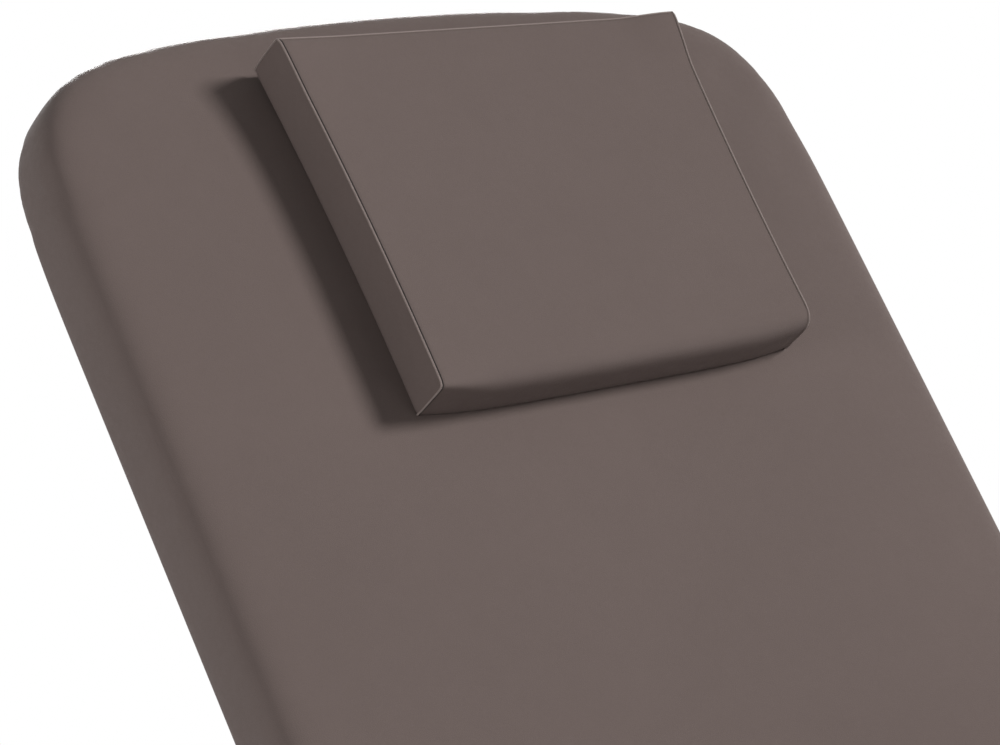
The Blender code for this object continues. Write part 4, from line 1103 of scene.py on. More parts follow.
    def stitches(self, seam: Sequence[Vector], way: Vector) -> bmesh.types.BMesh:
        """The stitches that show in a seam.

        Args:
            seam: The seam's points.
            way: The way from the seam to the stitches.

        Returns:
            The row of stitches.
        """
        radius = self.stitch_radius
        whole, run = bmesh.new(), 0.0
        for here, after in zip(seam, seam[1:]):
            run += (after - here).length
            if run < self.stitch_pitch:
                continue
            run = 0.0
            stitch = bmesh.new()
            bmesh.ops.create_uvsphere(stitch, u_segments=6, v_segments=5, radius=1)
            bmesh.ops.scale(stitch, vec=(radius, radius, self.stitch_length / 2), verts=stitch.verts)
            whole = joined(whole, moved(stitch, Matrix.Translation(here + way) @ toward(after - here)))
        return whole

    def leather(self, seams: Sequence[Sequence[Vector]]) -> bpy.types.Object:
        """The swollen leather, still in the cushion's frame.

        Args:
            seams: The seams, beside which the leather is held.

        Returns:
            The new object.
        """
        bm = self.grid()
        for vertex in bm.verts:
            vertex.co = self.rounded(vertex.co)
        obj = shaped("head_cushion_leather", bm)
        tree = lookup([point for seam in seams for point in seam])

        def held(point: Vector) -> float:
            """Holds the underside, and the leather beside the seams less and less."""
            if point.z < self.floor + self.floor_hold:
                return 1.0
            return max(0.0, 1.0 - max(0.0, tree.find(point)[2] - self.seam_free) / self.seam_hold)

        swollen(obj, held, self.swell, pressure=24.0, stiffness=15.0, bending=0.6)
        subdivided(obj)
        return obj

    def make(self, maker: Maker) -> None:
        """Makes the cushion's leather, seams and stitches, and dresses what lies inside and under it."""
        seams = self.seams()
        obj = self.leather(seams)
        laid = [[obj.closest_point_on_mesh(point)[1] for point in seam] for seam in seams]
        obj.data.transform(CUSHION_FRAME)
        body = Body.HEAD_CUSHION
        maker.own(obj, LEATHER, body, ("head_cushion_cover",), sharp=70)
        welts, gaps, threads = bmesh.new(), bmesh.new(), bmesh.new()
        for seam, out, inward in zip(laid, self.seam_outs, self.seam_ins):
            # Welt: a bead in the paler leather of painted highlight.
            welts = joined(welts, swept([point + Vector(out) * self.welt for point in seam], self.welt))
            line = Vector(inward) * self.welt
            # Gap: a dark tube of painted shade at the bottom of the seam.
            gaps = joined(gaps, swept([point + line for point in seam], self.gap))
            threads = joined(threads, self.stitches(seam, line * 1.1))
        maker.piece("head_cushion_welts", moved(welts, CUSHION_FRAME), WELT_HIGHLIGHT_LEATHER, body)
        maker.piece("head_cushion_painted_seam_shade", moved(gaps, CUSHION_FRAME), SEAM_SHADE, body)
        maker.piece("head_cushion_stitches", moved(threads, CUSHION_FRAME), THREAD, body)
        full = (self.width, self.length, self.height)
        size = tuple(outer - less for outer, less in zip(full, self.foam_less))
        foam = block(size, (0, 0, self.foam_lift), 0.012, Axis.UP, 0.004)
        maker.piece("head_cushion_foam_core", moved(foam, CUSHION_FRAME), FOAM, body, ("head_cushion_foam",))
        maker.coat(BACK_PLYWOOD, "head_cushion_base")
        maker.coat(HOOK_TAPE, "cushion_hook_tape", "pad_loop_tape")


@dataclass(frozen=True)
class Padding:
    """All that is soft: the three sections and the head cushion."""

    back: PaddedSection = PaddedSection(
        "backrest", Body.BACKREST, BACK_PAD_FRAME, length=0.8178, far_width=0.268, far_length=0.3028,
        far_power=6.9, bow=0.0248,
    )
    seat: PaddedSection = PaddedSection(
        "seat", Body.SEAT_FRAME, SEAT_PAD_FRAME, length=0.500, far_width=0.034, far_length=0.034,
        far_power=2.0,
    )
    leg: PaddedSection = PaddedSection(
        "legrest", Body.LEGREST, LEG_PAD_FRAME, length=0.500, far_width=0.130, far_length=0.120,
        far_power=3.0, bow=0.010,
    )
    cushion: HeadCushion = HeadCushion()

    def make(self, maker: Maker) -> None:
        """Makes each soft piece in turn."""
        self.back.make(maker, BACK_PLYWOOD)
        self.seat.make(maker, PLYWOOD)
        self.leg.make(maker, PLYWOOD)
        self.cushion.make(maker)


# Steelwork


@dataclass(frozen=True)
class Pin:
    """A turned pin across the bed, with a domed head at one end and a clip washer at the other."""

    node: str
    body: Body
    grip_radius: float
    head: float = 0.0025
    washer: float = 0.0011

    def make(self, maker: Maker) -> None:
        """Turns the pin in its node's space."""
        space, grip = Space.of(self.node), self.grip_radius
        half, rim = space.size.x / 2, space.size.z / 2
        inner = half - self.head
        profile = [(-half, 0), (-half, rim * 0.45), (-half + self.head * 0.45, rim * 0.88)]
        profile += [(-inner - 0.0004, rim), (-inner, rim - 0.0003), (-inner, grip), (inner, grip)]
        profile += [(inner, rim), (inner + self.washer, rim), (inner + self.washer, grip)]
        profile += [(half - 0.0006, grip), (half, grip - 0.0008), (half, 0)]
        pin = lathe(profile, space.centre, ACROSS)
        maker.piece(f"{self.node}_turned", pin, ZINC, self.body, (self.node,))


@dataclass(frozen=True)
class Bolt:
    """A hexagon-head bolt on its washer."""

    across: float = 0.011
    height: float = 0.0045
    washer: float = 0.0085
    washer_top: float = 0.0013

    def head(self, place: Triple, way: Vector) -> bmesh.types.BMesh:
        """The washer and the head on a face.

        Args:
            place: The middle of the bolt on the face.
            way: The direction out of the face.

        Returns:
            The new bmesh.
        """
        hexagon, corner = bmesh.new(), self.across / math.sqrt(3)
        bmesh.ops.create_cone(
            hexagon, cap_ends=True, segments=6, radius1=corner, radius2=corner, depth=self.height,
        )
        bevelled(hexagon, hexagon.edges, 0.0005, 2)
        bmesh.ops.translate(hexagon, vec=(0, 0, 0.0012 + self.height / 2), verts=hexagon.verts)
        ring = lathe(washer_profile(self.washer, self.washer_top), steps=24)
        return moved(joined(hexagon, ring), Matrix.Translation(Vector(place)) @ toward(way))

    def socket(self, place: Triple, way: Vector) -> bmesh.types.BMesh:
        """A low round head with a hexagon socket, on a face."""
        high, radius = self.height * 0.7, self.across / 2
        profile = [(0, 0), (0, radius), (high * 0.45, radius), (high, radius * 0.55)]
        profile += [(high - 0.0012, radius * 0.40), (high - 0.0014, 0)]
        return lathe(profile, place, way, 20)


@dataclass(frozen=True)
class CrossBar:
    """Where a welded bar runs between two rails, in a section's hinge frame."""

    name: str
    body: Body
    pose: Matrix
    along: float
    top: float
    half_length: float = 0.2527
    width: float = 0.030
    bead: float = 0.0024
    unwelded: float = 0.004
    ripples: int = 18

    def welds(self) -> bmesh.types.BMesh:
        """The weld beads round both ends of the bar, with their ripples."""
        whole = bmesh.new()
        low, high = self.top - self.width, self.top - self.unwelded
        corners = [(-0.5, high), (-0.5, low), (0.5, low), (0.5, high)]
        for side in (-1, 1):
            x = side * (self.half_length - 0.0004)
            for (a, za), (b, zb) in zip(corners, corners[1:]):
                for k in range(self.ripples):
                    share = k / (self.ripples - 1)
                    y, z = (a + (b - a) * share) * self.width, za + (zb - za) * share
                    ripple = bmesh.new()
                    bmesh.ops.create_uvsphere(ripple, u_segments=8, v_segments=5, radius=self.bead)
                    bmesh.ops.scale(ripple, vec=(1, 0.72, 0.72), verts=ripple.verts)
                    whole = joined(whole, moved(ripple, Matrix.Translation((x, self.along + y, z))))
        return moved(whole, self.pose)


@dataclass(frozen=True)
class RailEnd:
    """Where a side rail ends and what screws hold the board on it, in a section's hinge frame."""

    name: str
    body: Body
    pose: Matrix
    end: float
    way: int
    top: float
    screws: tuple[float, ...]
    offset: float = 0.2655
    width: float = 0.025
    height: float = 0.040
    cap: float = 0.0034
    wall_room: float = 0.0046
    shank: float = 0.0124

    def plugs(self) -> bmesh.types.BMesh:
        """The moulded plugs in the open ends of both rails."""
        whole, middle = bmesh.new(), self.top - self.height / 2
        for side in (-1, 1):
            centre = (side * self.offset, self.end + self.way * (self.cap / 2 + HAIR), middle)
            size = (self.width, self.cap, self.height)
            whole = joined(whole, block(size, centre, 0.003, Axis.ALONG, 0.001, 5))
            centre = (side * self.offset, self.end - self.way * 0.006, middle)
            size = (self.width - self.wall_room, self.shank, self.height - self.wall_room)
            whole = joined(whole, block(size, centre, 0.001, Axis.ALONG))
        return moved(whole, self.pose)

    def heads(self) -> bmesh.types.BMesh:
        """The screw heads under both rails."""
        whole = bmesh.new()
        for side in (-1, 1):
            for along in self.screws:
                place = (side * self.offset, along, self.top - self.height)
                whole = joined(whole, Bolt().socket(place, DOWN))
        return moved(whole, self.pose)


@dataclass(frozen=True)
class Chassis:
    """The welded frames of the three sections, with their hinges."""

    back: Matrix = BACK_HINGE_FRAME
    leg: Matrix = LEG_HINGE_FRAME
    seat: Matrix = SEAT_FRAME
    back_top: float = -0.0285
    leg_top: float = 0.020
    seat_top: float = 0.0
    hinge_pin: float = 0.005

    def bars(self) -> tuple[CrossBar, ...]:
        """The six cross bars."""
        return (
            CrossBar("back_lever_bar", Body.BACKREST, self.back, 0.105, self.back_top),
            CrossBar("back_upper_bar", Body.BACKREST, self.back, 0.610, self.back_top),
            CrossBar("leg_lever_bar", Body.LEGREST, self.leg, -0.105, self.leg_top),
            CrossBar("leg_outer_bar", Body.LEGREST, self.leg, -0.360, self.leg_top),
            CrossBar("seat_bar_front", Body.SEAT_FRAME, self.seat, -0.078, self.seat_top),
            CrossBar("seat_bar_rear", Body.SEAT_FRAME, self.seat, 0.078, self.seat_top),
        )

    def make(self, maker: Maker) -> None:
        """Coats the frames and adds their welds, plugs, screws and hinge pins."""
        rails = [f"{part}_rail_{side}" for part in ("back", "leg", "seat") for side in ("left", "right")]
        maker.coat(FRAME_PAINT, *rails, *(bar.name for bar in self.bars()))
        for bar in self.bars():
            maker.piece(f"{bar.name}_welds", bar.welds(), FRAME_PAINT, bar.body, sharp=80)
        ends = (
            RailEnd("back", Body.BACKREST, self.back, 0.690, 1, self.back_top, (0.14, 0.38, 0.64)),
            RailEnd("leg", Body.LEGREST, self.leg, -0.420, -1, self.leg_top, (-0.15, -0.38)),
        )
        for end in ends:
            maker.piece(f"{end.name}_rail_plugs", end.plugs(), BLACK_PLASTIC, end.body)
            maker.piece(f"{end.name}_board_screws", end.heads(), ZINC, end.body)
        seat = RailEnd("seat", Body.SEAT_FRAME, self.seat, 0, 1, self.seat_top, (-0.13, 0.13))
        maker.piece("seat_board_screws", seat.heads(), ZINC, seat.body)
        for part in ("back", "leg"):
            for side in ("left", "right"):
                Pin(f"{part}_hinge_pin_{side}", Body.SEAT_FRAME, self.hinge_pin).make(maker)


# Drives


@dataclass(frozen=True)
class SectionDrive:
    """A linear actuator: gearbox in two halves, motor, guide tube, and the rod with its fork."""

    name: str
    body: Body
    rod_body: Body
    rod_place: Triple
    tube_end: float
    hang: int
    gearbox: Triple = (0.044, 0.060, 0.090)
    gearbox_end: float = 0.046
    above: float = 0.020
    motor_radius: float = 0.020
    motor_length: float = 0.110
    tube_radius: float = 0.017
    rod_radius: float = 0.010
    rod_length: float = 0.200
    fork_depth: float = 0.036
    fork_neck: float = 0.010
    fork_nose: float = 0.013
    fork_width: float = 0.021
    fork_gap: float = 0.009
    fork_height: float = 0.026
    pin_radius: float = 0.006
    seam: float = 0.0003
    skin: float = 0.001
    rib_pitch: float = 0.0075
    rib: float = 0.0022
    round_steps: int = 48

    @property
    def angle(self) -> float:
        """How far the drive is turned about its rear pin at rest."""
        _, along, up = AXES[f"{self.name}_drive_travel"]
        return math.atan2(up, along)

    @property
    def pose(self) -> Matrix:
        """The housing's frame at rest, with its length along the second axis."""
        return Matrix.Translation(PIVOTS[f"{self.name}_drive_tilt"]) @ Matrix.Rotation(self.angle, 4, "X")

    @property
    def rod_pose(self) -> Matrix:
        """The rod's frame at rest, on its pin."""
        return Matrix.Translation(self.rod_place) @ Matrix.Rotation(self.angle, 4, "X")

    def gearbox_halves(self) -> bmesh.types.BMesh:
        """Two moulded shells that meet in a parting line, with the rear pin's hole through both."""
        width, length, height = self.gearbox
        y, z = self.gearbox_end - length / 2, self.hang * (height / 2 - self.above)
        size, halves = (width / 2 - self.seam, length, height), []
        for side in (-1, 1):
            centre = (side * (width / 4 + self.seam / 2), y, z)
            halves.append(block(size, centre, 0.006, Axis.ACROSS, 0.0012, 8))
        size = (width - 2 * self.skin, length - 2 * self.skin, height - 2 * self.skin)
        body = joined(*halves, block(size, (0, y, z), 0.005, Axis.ACROSS))
        hole = lathe(rounded_rod(self.pin_radius + HAIR, -0.03, 0.03), way=ACROSS)
        return carved(body, hole)

    def ribs(self) -> bmesh.types.BMesh:
        """Stiffening ribs on the gearbox's outer face."""
        length, height = self.gearbox[1:]
        y, z = self.gearbox_end - length / 2, self.hang * (height - self.above)
        size, whole = (self.rib, length * 0.66, self.rib), bmesh.new()
        for k in range(-2, 3):
            centre = (k * self.rib_pitch, y, z - self.hang * 0.0002)
            whole = joined(whole, block(size, centre, 0.001, Axis.UP, 0.0004, 4))
        return whole

    def screws(self) -> bmesh.types.BMesh:
        """The screws that clamp the two shells."""
        whole, end = bmesh.new(), self.gearbox_end
        far = self.hang * (self.gearbox[2] - self.above - 0.007)
        spots = ((end - 0.007, far), (end - 0.053, far), (end - 0.006, -self.hang * 0.013))
        screw = Bolt(across=0.0062, height=0.0040)
        for side in (-1, 1):
            for y, z in spots:
                place = (side * (self.gearbox[0] / 2 - 0.0022), y, z)
                whole = joined(whole, screw.socket(place, Vector((side, 0, 0))))
        return whole

    def motor(self) -> bmesh.types.BMesh:
        """The motor's can with its flange and end cap."""
        root, radius = self.gearbox_end, self.motor_radius
        start, end, can = root - 0.004, root + self.motor_length, radius - 0.0012
        profile = [(start, 0), (start, radius), (root + 0.006, radius), (root + 0.007, can)]
        profile += [(end - 0.020, can), (end - 0.019, radius), (end - 0.003, radius), (end, radius - 0.003)]
        profile += [(end, 0.006), (end, 0)]
        z = self.hang * (self.gearbox[2] - self.above - radius - 0.003)
        return lathe(profile, (0, 0, z), ALONG, self.round_steps)

    def guide(self) -> bmesh.types.BMesh:
        """The guide tube, open where the rod leaves it."""
        start, end = self.gearbox_end + 0.003, self.tube_end - 0.007
        profile = ring_profile(self.rod_radius + 0.0006, self.tube_radius - 0.0008, start, end)
        return lathe(profile, way=ALONG, steps=self.round_steps)

    def scraper(self) -> bmesh.types.BMesh:
        """The scraper ring at the guide's mouth and the collar at its root."""
        end, radius, root = self.tube_end, self.tube_radius, self.gearbox_end
        mouth = ring_profile(self.rod_radius + HAIR, radius, end - 0.009, end, 0.0015)
        collar = ring_profile(radius - 0.001, radius + 0.0012, root - 0.001, root + 0.007)
        return joined(*(lathe(profile, way=ALONG, steps=self.round_steps) for profile in (mouth, collar)))

    def fork(self) -> bmesh.types.BMesh:
        """The fork at the rod's end, with its mouth and its pin's hole."""
        nose, height = self.fork_nose, self.fork_height
        length = nose + self.fork_depth + self.fork_neck
        size, centre = (self.fork_width, length, height), (0, nose - length / 2, 0)
        body = block(size, centre, height / 4, Axis.ACROSS, 0.0008, 8)
        past = 0.01
        depth = nose + self.fork_depth + past
        mouth = block((self.fork_gap, depth, 0.05), (0, nose + past - depth / 2, 0))
        hole = lathe(rounded_rod(self.pin_radius + HAIR, -0.02, 0.02), way=ACROSS)
        return carved(body, mouth, hole)

    def rod(self) -> bmesh.types.BMesh:
        """The ground rod, which ends just inside the fork's neck."""
        start, end = -self.fork_depth - self.rod_length, -self.fork_depth - self.fork_neck + 0.001
        return lathe(rounded_rod(self.rod_radius, start, end), way=ALONG, steps=self.round_steps)

    def make(self, maker: Maker) -> None:
        """Makes the housing's pieces, the rod's, and both pins."""
        for label, bm, finish in (
            ("gearbox", self.gearbox_halves(), BLACK_PLASTIC),
            ("gearbox_ribs", self.ribs(), BLACK_PLASTIC),
            ("motor", self.motor(), BLACK_PLASTIC),
            ("guide_tube", self.guide(), ZINC),
            ("tube_rings", self.scraper(), BLACK_PLASTIC),
            ("shell_screws", self.screws(), ZINC),
        ):
            stands_for = (f"{self.name}_drive_housing",) if label == "gearbox" else ()
            maker.piece(f"{self.name}_{label}", moved(bm, self.pose), finish, self.body, stands_for)
        rod, fork = moved(self.rod(), self.rod_pose), moved(self.fork(), self.rod_pose)
        maker.piece(f"{self.name}_rod_bar", rod, STEEL, self.rod_body, (f"{self.name}_drive_rod",))
        maker.piece(f"{self.name}_rod_fork", fork, ZINC, self.rod_body)
        Pin(f"{self.name}_drive_rear_pin", Body.SEAT_FRAME, self.pin_radius).make(maker)
        Pin(f"{self.name}_drive_rod_pin", self.rod_body, self.pin_radius).make(maker)


BACK_DRIVE = SectionDrive(
    "back", Body.BACK_DRIVE, Body.BACK_ROD, rod_place=(0.185, 0.292851, 0.551743), tube_end=0.28735, hang=-1,
)
LEG_DRIVE = SectionDrive(
    "leg", Body.LEG_DRIVE, Body.LEG_ROD, rod_place=(-0.185, -0.341180, 0.489300), tube_end=0.2592, hang=1,
)


# Lift and base


@dataclass(frozen=True)
class LiftingColumn:
    """The telescoping column: three drawn tubes, their glide collars, and the plate that carries the seat."""

    wall: float = 0.004
    corner: float = 0.012
    corner_step: float = 0.0035
    lip: float = 0.003
    lip_reach: float = 0.0015
    lip_room: float = 0.0009
    sleeve_room: float = 0.0003
    bolt_across: float = 0.081
    bolt_along: float = 0.078

    def tube(self, node: str, corner: float) -> bmesh.types.BMesh:
        """One tube of the column, in its node's space."""
        space = Space.of(node)
        outer = block(space.size, space.centre, corner, Axis.UP, steps=12)
        hollow = Vector((space.size.x - 2 * self.wall, space.size.y - 2 * self.wall, space.size.z + 0.02))
        return carved(outer, block(hollow, space.centre, max(corner - self.wall, 0.001), Axis.UP, steps=12))

    def collar(self, node: str, tube: str, moving: str, corner: float) -> bmesh.types.BMesh:
        """A glide collar inside a tube's mouth, with a lip that lies on the tube's rim.

        Args:
            node: The collar's node.
            tube: The tube that it sits in.
            moving: The tube that slides through it.
            corner: The corner radius of the tube that it sits in.

        Returns:
            The new bmesh.
        """
        body, outside, inside = Space.of(node), Space.of(tube), Space.of(moving)
        room, reach, hole = 2 * self.sleeve_room, 2 * self.lip_reach, inside.size.x + 2 * self.lip_room
        sleeve = block(body.size, body.centre, corner - self.wall)
        bore = block((inside.size.x + room, inside.size.y + room, 0.1), body.centre, corner - 0.0068)
        centre = (body.centre.x, body.centre.y, outside.high.z + self.lip / 2 + HAIR)
        size = (outside.size.x + reach, outside.size.y + reach, self.lip)
        rim = block(size, centre, corner + self.lip_reach, Axis.UP, 0.0009, 12)
        return joined(carved(sleeve, bore), carved(rim, block((hole, hole, 0.05), centre, corner - 0.006)))

    def make(self, maker: Maker) -> None:
        """Makes the tubes, collars and head plate, and finishes the drive inside."""
        middle_corner = self.corner - self.corner_step
        stages = (
            ("column_outer", Body.BASE, self.corner), ("column_middle", Body.COLUMN_STAGE, middle_corner),
            ("column_inner", Body.SEAT_FRAME, self.corner - 2 * self.corner_step),
        )
        for node, body, corner in stages:
            maker.piece(f"{node}_tube", self.tube(node, corner), COLUMN_PAINT, body, (node,), edge=0.0004)
        outer = self.collar("outer_glide_collar", "column_outer", "column_middle", self.corner)
        maker.piece("outer_collar", outer, BLACK_PLASTIC, Body.BASE, ("outer_glide_collar",))
        middle = self.collar("middle_glide_collar", "column_middle", "column_inner", middle_corner)
        maker.piece("middle_collar", middle, BLACK_PLASTIC, Body.COLUMN_STAGE, ("middle_glide_collar",))
        plate = Space.of("column_head_plate")
        slab = block(plate.size, plate.centre, self.corner, Axis.UP, 0.0010, 10)
        maker.piece("head_plate", slab, COLUMN_PAINT, Body.SEAT_FRAME, ("column_head_plate",))
        spots = mirrored_spots(plate.centre, self.bolt_across, self.bolt_along, plate.low.z)
        bolts = joined(*(Bolt().head(spot, DOWN) for spot in spots))
        maker.piece("head_plate_bolts", bolts, ZINC, Body.SEAT_FRAME)
        maker.coat(BLACK_PLASTIC, "lift_motor")
        maker.coat(STEEL, "lift_spindle")
        maker.coat(ZINC, "lift_push_tube")


@dataclass(frozen=True)
class Base:
    """The floor plate on its feet, the moulded cover round the column, and the mains inlet."""

    plate_corner: float = 0.060
    cover_corner: float = 0.040
    cover_edge: float = 0.010
    cover_screw_place: float = 0.034
    column_room: float = 0.0008
    gasket_width: float = 0.006
    inlet_rim: float = 0.0028
    inlet_key: float = 0.0045
    pin_pitch: float = 0.007
    recess: float = 0.017
    nut_profile: tuple[Pair, ...] = (
        (0, 0), (0, 0.0085), (0.0045, 0.0085), (0.0050, 0.0076), (0.0085, 0.0060), (0.0108, 0.0030),
        (0.0112, 0),
    )
    washer: float = 0.0125
    washer_top: float = 0.0013

    @staticmethod
    def foot(space: Space) -> bmesh.types.BMesh:
        """One rubber foot: a ring to stand on, a groove round its waist, and a cone up to the plate."""
        radius, height = space.size.x / 2, space.size.z
        profile = [(0, 0), (0, 0.006), (0.0012, 0.008), (0.0012, radius - 0.006), (0, radius - 0.005)]
        profile += [(0, radius - 0.0015), (0.0015, radius), (0.0042, radius - 0.0004)]
        profile += [(0.0048, radius - 0.0016), (0.0056, radius - 0.0016), (0.0062, radius - 0.0006)]
        profile += [(0.0100, radius - 0.0020), (height - 0.001, radius - 0.0036), (height, radius - 0.0046)]
        profile += [(height, 0)]
        return lathe(profile, (space.centre.x, space.centre.y, 0), steps=56)

    def feet(self, maker: Maker) -> None:
        """Makes the rubber feet, and the domed nuts that hold them from above."""
        nuts = bmesh.new()
        top = Space.of("base_plate").high.z
        for name in ("foot_toe_left", "foot_toe_right", "foot_head_left", "foot_head_right"):
            space = Space.of(name)
            maker.piece(f"{name}_rubber", self.foot(space), RUBBER, Body.BASE, (name,))
            x, y = space.centre.xy
            nuts = joined(nuts, lathe(self.nut_profile, (x, y, top + self.washer_top), steps=24))
            nuts = joined(nuts, lathe(washer_profile(self.washer, self.washer_top), (x, y, top), steps=32))
        maker.piece("foot_nuts", nuts, ZINC, Body.BASE)

    def cover(self) -> bmesh.types.BMesh:
        """The cover, with its rounded lid, its column hole and the inlet's window."""
        space, column = Space.of("base_cover"), Space.of("column_outer")
        body = block(space.size, space.centre, self.cover_corner, Axis.UP, steps=14)
        lid = [e for e in body.edges if all(abs(v.co.z - space.high.z) < SAME for v in e.verts)]
        bevelled(body, lid, self.cover_edge, 6)
        room = 2 * self.column_room
        size, centre = (column.size.x + room, column.size.y + room, 0.2), (*column.centre.xy, space.centre.z)
        hole = block(size, centre, 0.0128, Axis.UP, steps=12)
        inlet, room = Space.of("mains_inlet"), 2 * HAIR
        size = (inlet.size.x + room, 0.06, inlet.size.z + room)
        return carved(body, hole, block(size, (inlet.centre.x, space.high.y, inlet.centre.z)))

    def gasket(self) -> bmesh.types.BMesh:
        """The soft lip where the column goes through the cover."""
        space, column = Space.of("base_cover"), Space.of("column_outer")
        (wide, deep), centre = column.size.xy, (*column.centre.xy, space.high.z + 0.0008)
        lip, room = 2 * self.gasket_width, 2 * HAIR
        ring = block((wide + lip, deep + lip, 0.0030), centre, 0.018, Axis.UP, 0.0012, 10)
        return carved(ring, block((wide + room, deep + room, 0.05), centre, 0.0123, Axis.UP, steps=12))

    def cover_screws(self) -> bmesh.types.BMesh:
        """The four screws in the lid."""
        space, inset = Space.of("base_cover"), self.cover_screw_place
        across, along = space.size.x / 2 - inset, space.size.y / 2 - inset
        screw = Bolt(across=0.009, height=0.0032)
        spots = mirrored_spots(space.centre, across, along, space.high.z - 0.0006)
        return joined(*(screw.socket(spot, UP) for spot in spots))

    def well(self, space: Space) -> bmesh.types.BMesh:
        """The keyed recess of the mains inlet, as the cutter that makes it."""
        wide, high, key = space.size.x - 2 * self.inlet_rim, space.size.z - 2 * self.inlet_rim, self.inlet_key
        outline = [
            (-wide / 2, -high / 2), (wide / 2, -high / 2), (wide / 2, high / 2 - key),
            (wide / 2 - key, high / 2), (key - wide / 2, high / 2), (-wide / 2, high / 2 - key),
        ]
        bm = bmesh.new()
        face = bm.faces.new([bm.verts.new((x, 0, z)) for x, z in outline])
        grown = bmesh.ops.extrude_face_region(bm, geom=[face])["geom"]
        far_end = [v for v in grown if isinstance(v, bmesh.types.BMVert)]
        bmesh.ops.translate(bm, vec=(0, self.recess + 0.01, 0), verts=far_end)
        bmesh.ops.recalc_face_normals(bm, faces=bm.faces)
        return moved(bm, Matrix.Translation((space.centre.x, space.high.y - self.recess, space.centre.z)))

    def inlet(self, maker: Maker) -> None:
        """Makes the mains inlet: its keyed recess, its flange and its three pins."""
        space = Space.of("mains_inlet")
        x, z, face = space.centre.x, space.centre.z, space.high.y
        body = block(space.size, space.centre, 0.0015, Axis.ALONG, steps=3)
        size = (space.size.x + 0.009, 0.0018, space.size.z + 0.007)
        flange = block(size, (x, face + 0.0006, z), 0.003, Axis.ALONG, 0.0006, 5)
        both = joined(carved(body, self.well(space)), carved(flange, self.well(space)))
        maker.piece("inlet_body", both, BLACK_PLASTIC, Body.BASE, ("mains_inlet",))
        pins = bmesh.new()
        for k in (-1, 0, 1):
            centre = (x + k * self.pin_pitch, face - self.recess + 0.0045, z - 0.003 * (abs(k) - 0.5))
            pins = joined(pins, block((0.002, 0.010, 0.004), centre, 0.0006, Axis.ALONG, 0.0005, 3))
        maker.piece("inlet_pins", pins, ZINC, Body.BASE)

    def make(self, maker: Maker) -> None:
        """Makes the plate, the feet, the cover and the inlet."""
        plate = Space.of("base_plate")
        slab = block(plate.size, plate.centre, self.plate_corner, Axis.UP, 0.0018, 20)
        maker.piece("floor_plate", slab, COLUMN_PAINT, Body.BASE, ("base_plate",))
        self.feet(maker)
        maker.piece("base_cover_shell", self.cover(), GREY_PLASTIC, Body.BASE, ("base_cover",), edge=0.0005)
        maker.piece("base_cover_gasket", self.gasket(), RUBBER, Body.BASE)
        maker.piece("base_cover_screws", self.cover_screws(), ZINC, Body.BASE)
        self.inlet(maker)


# Controls


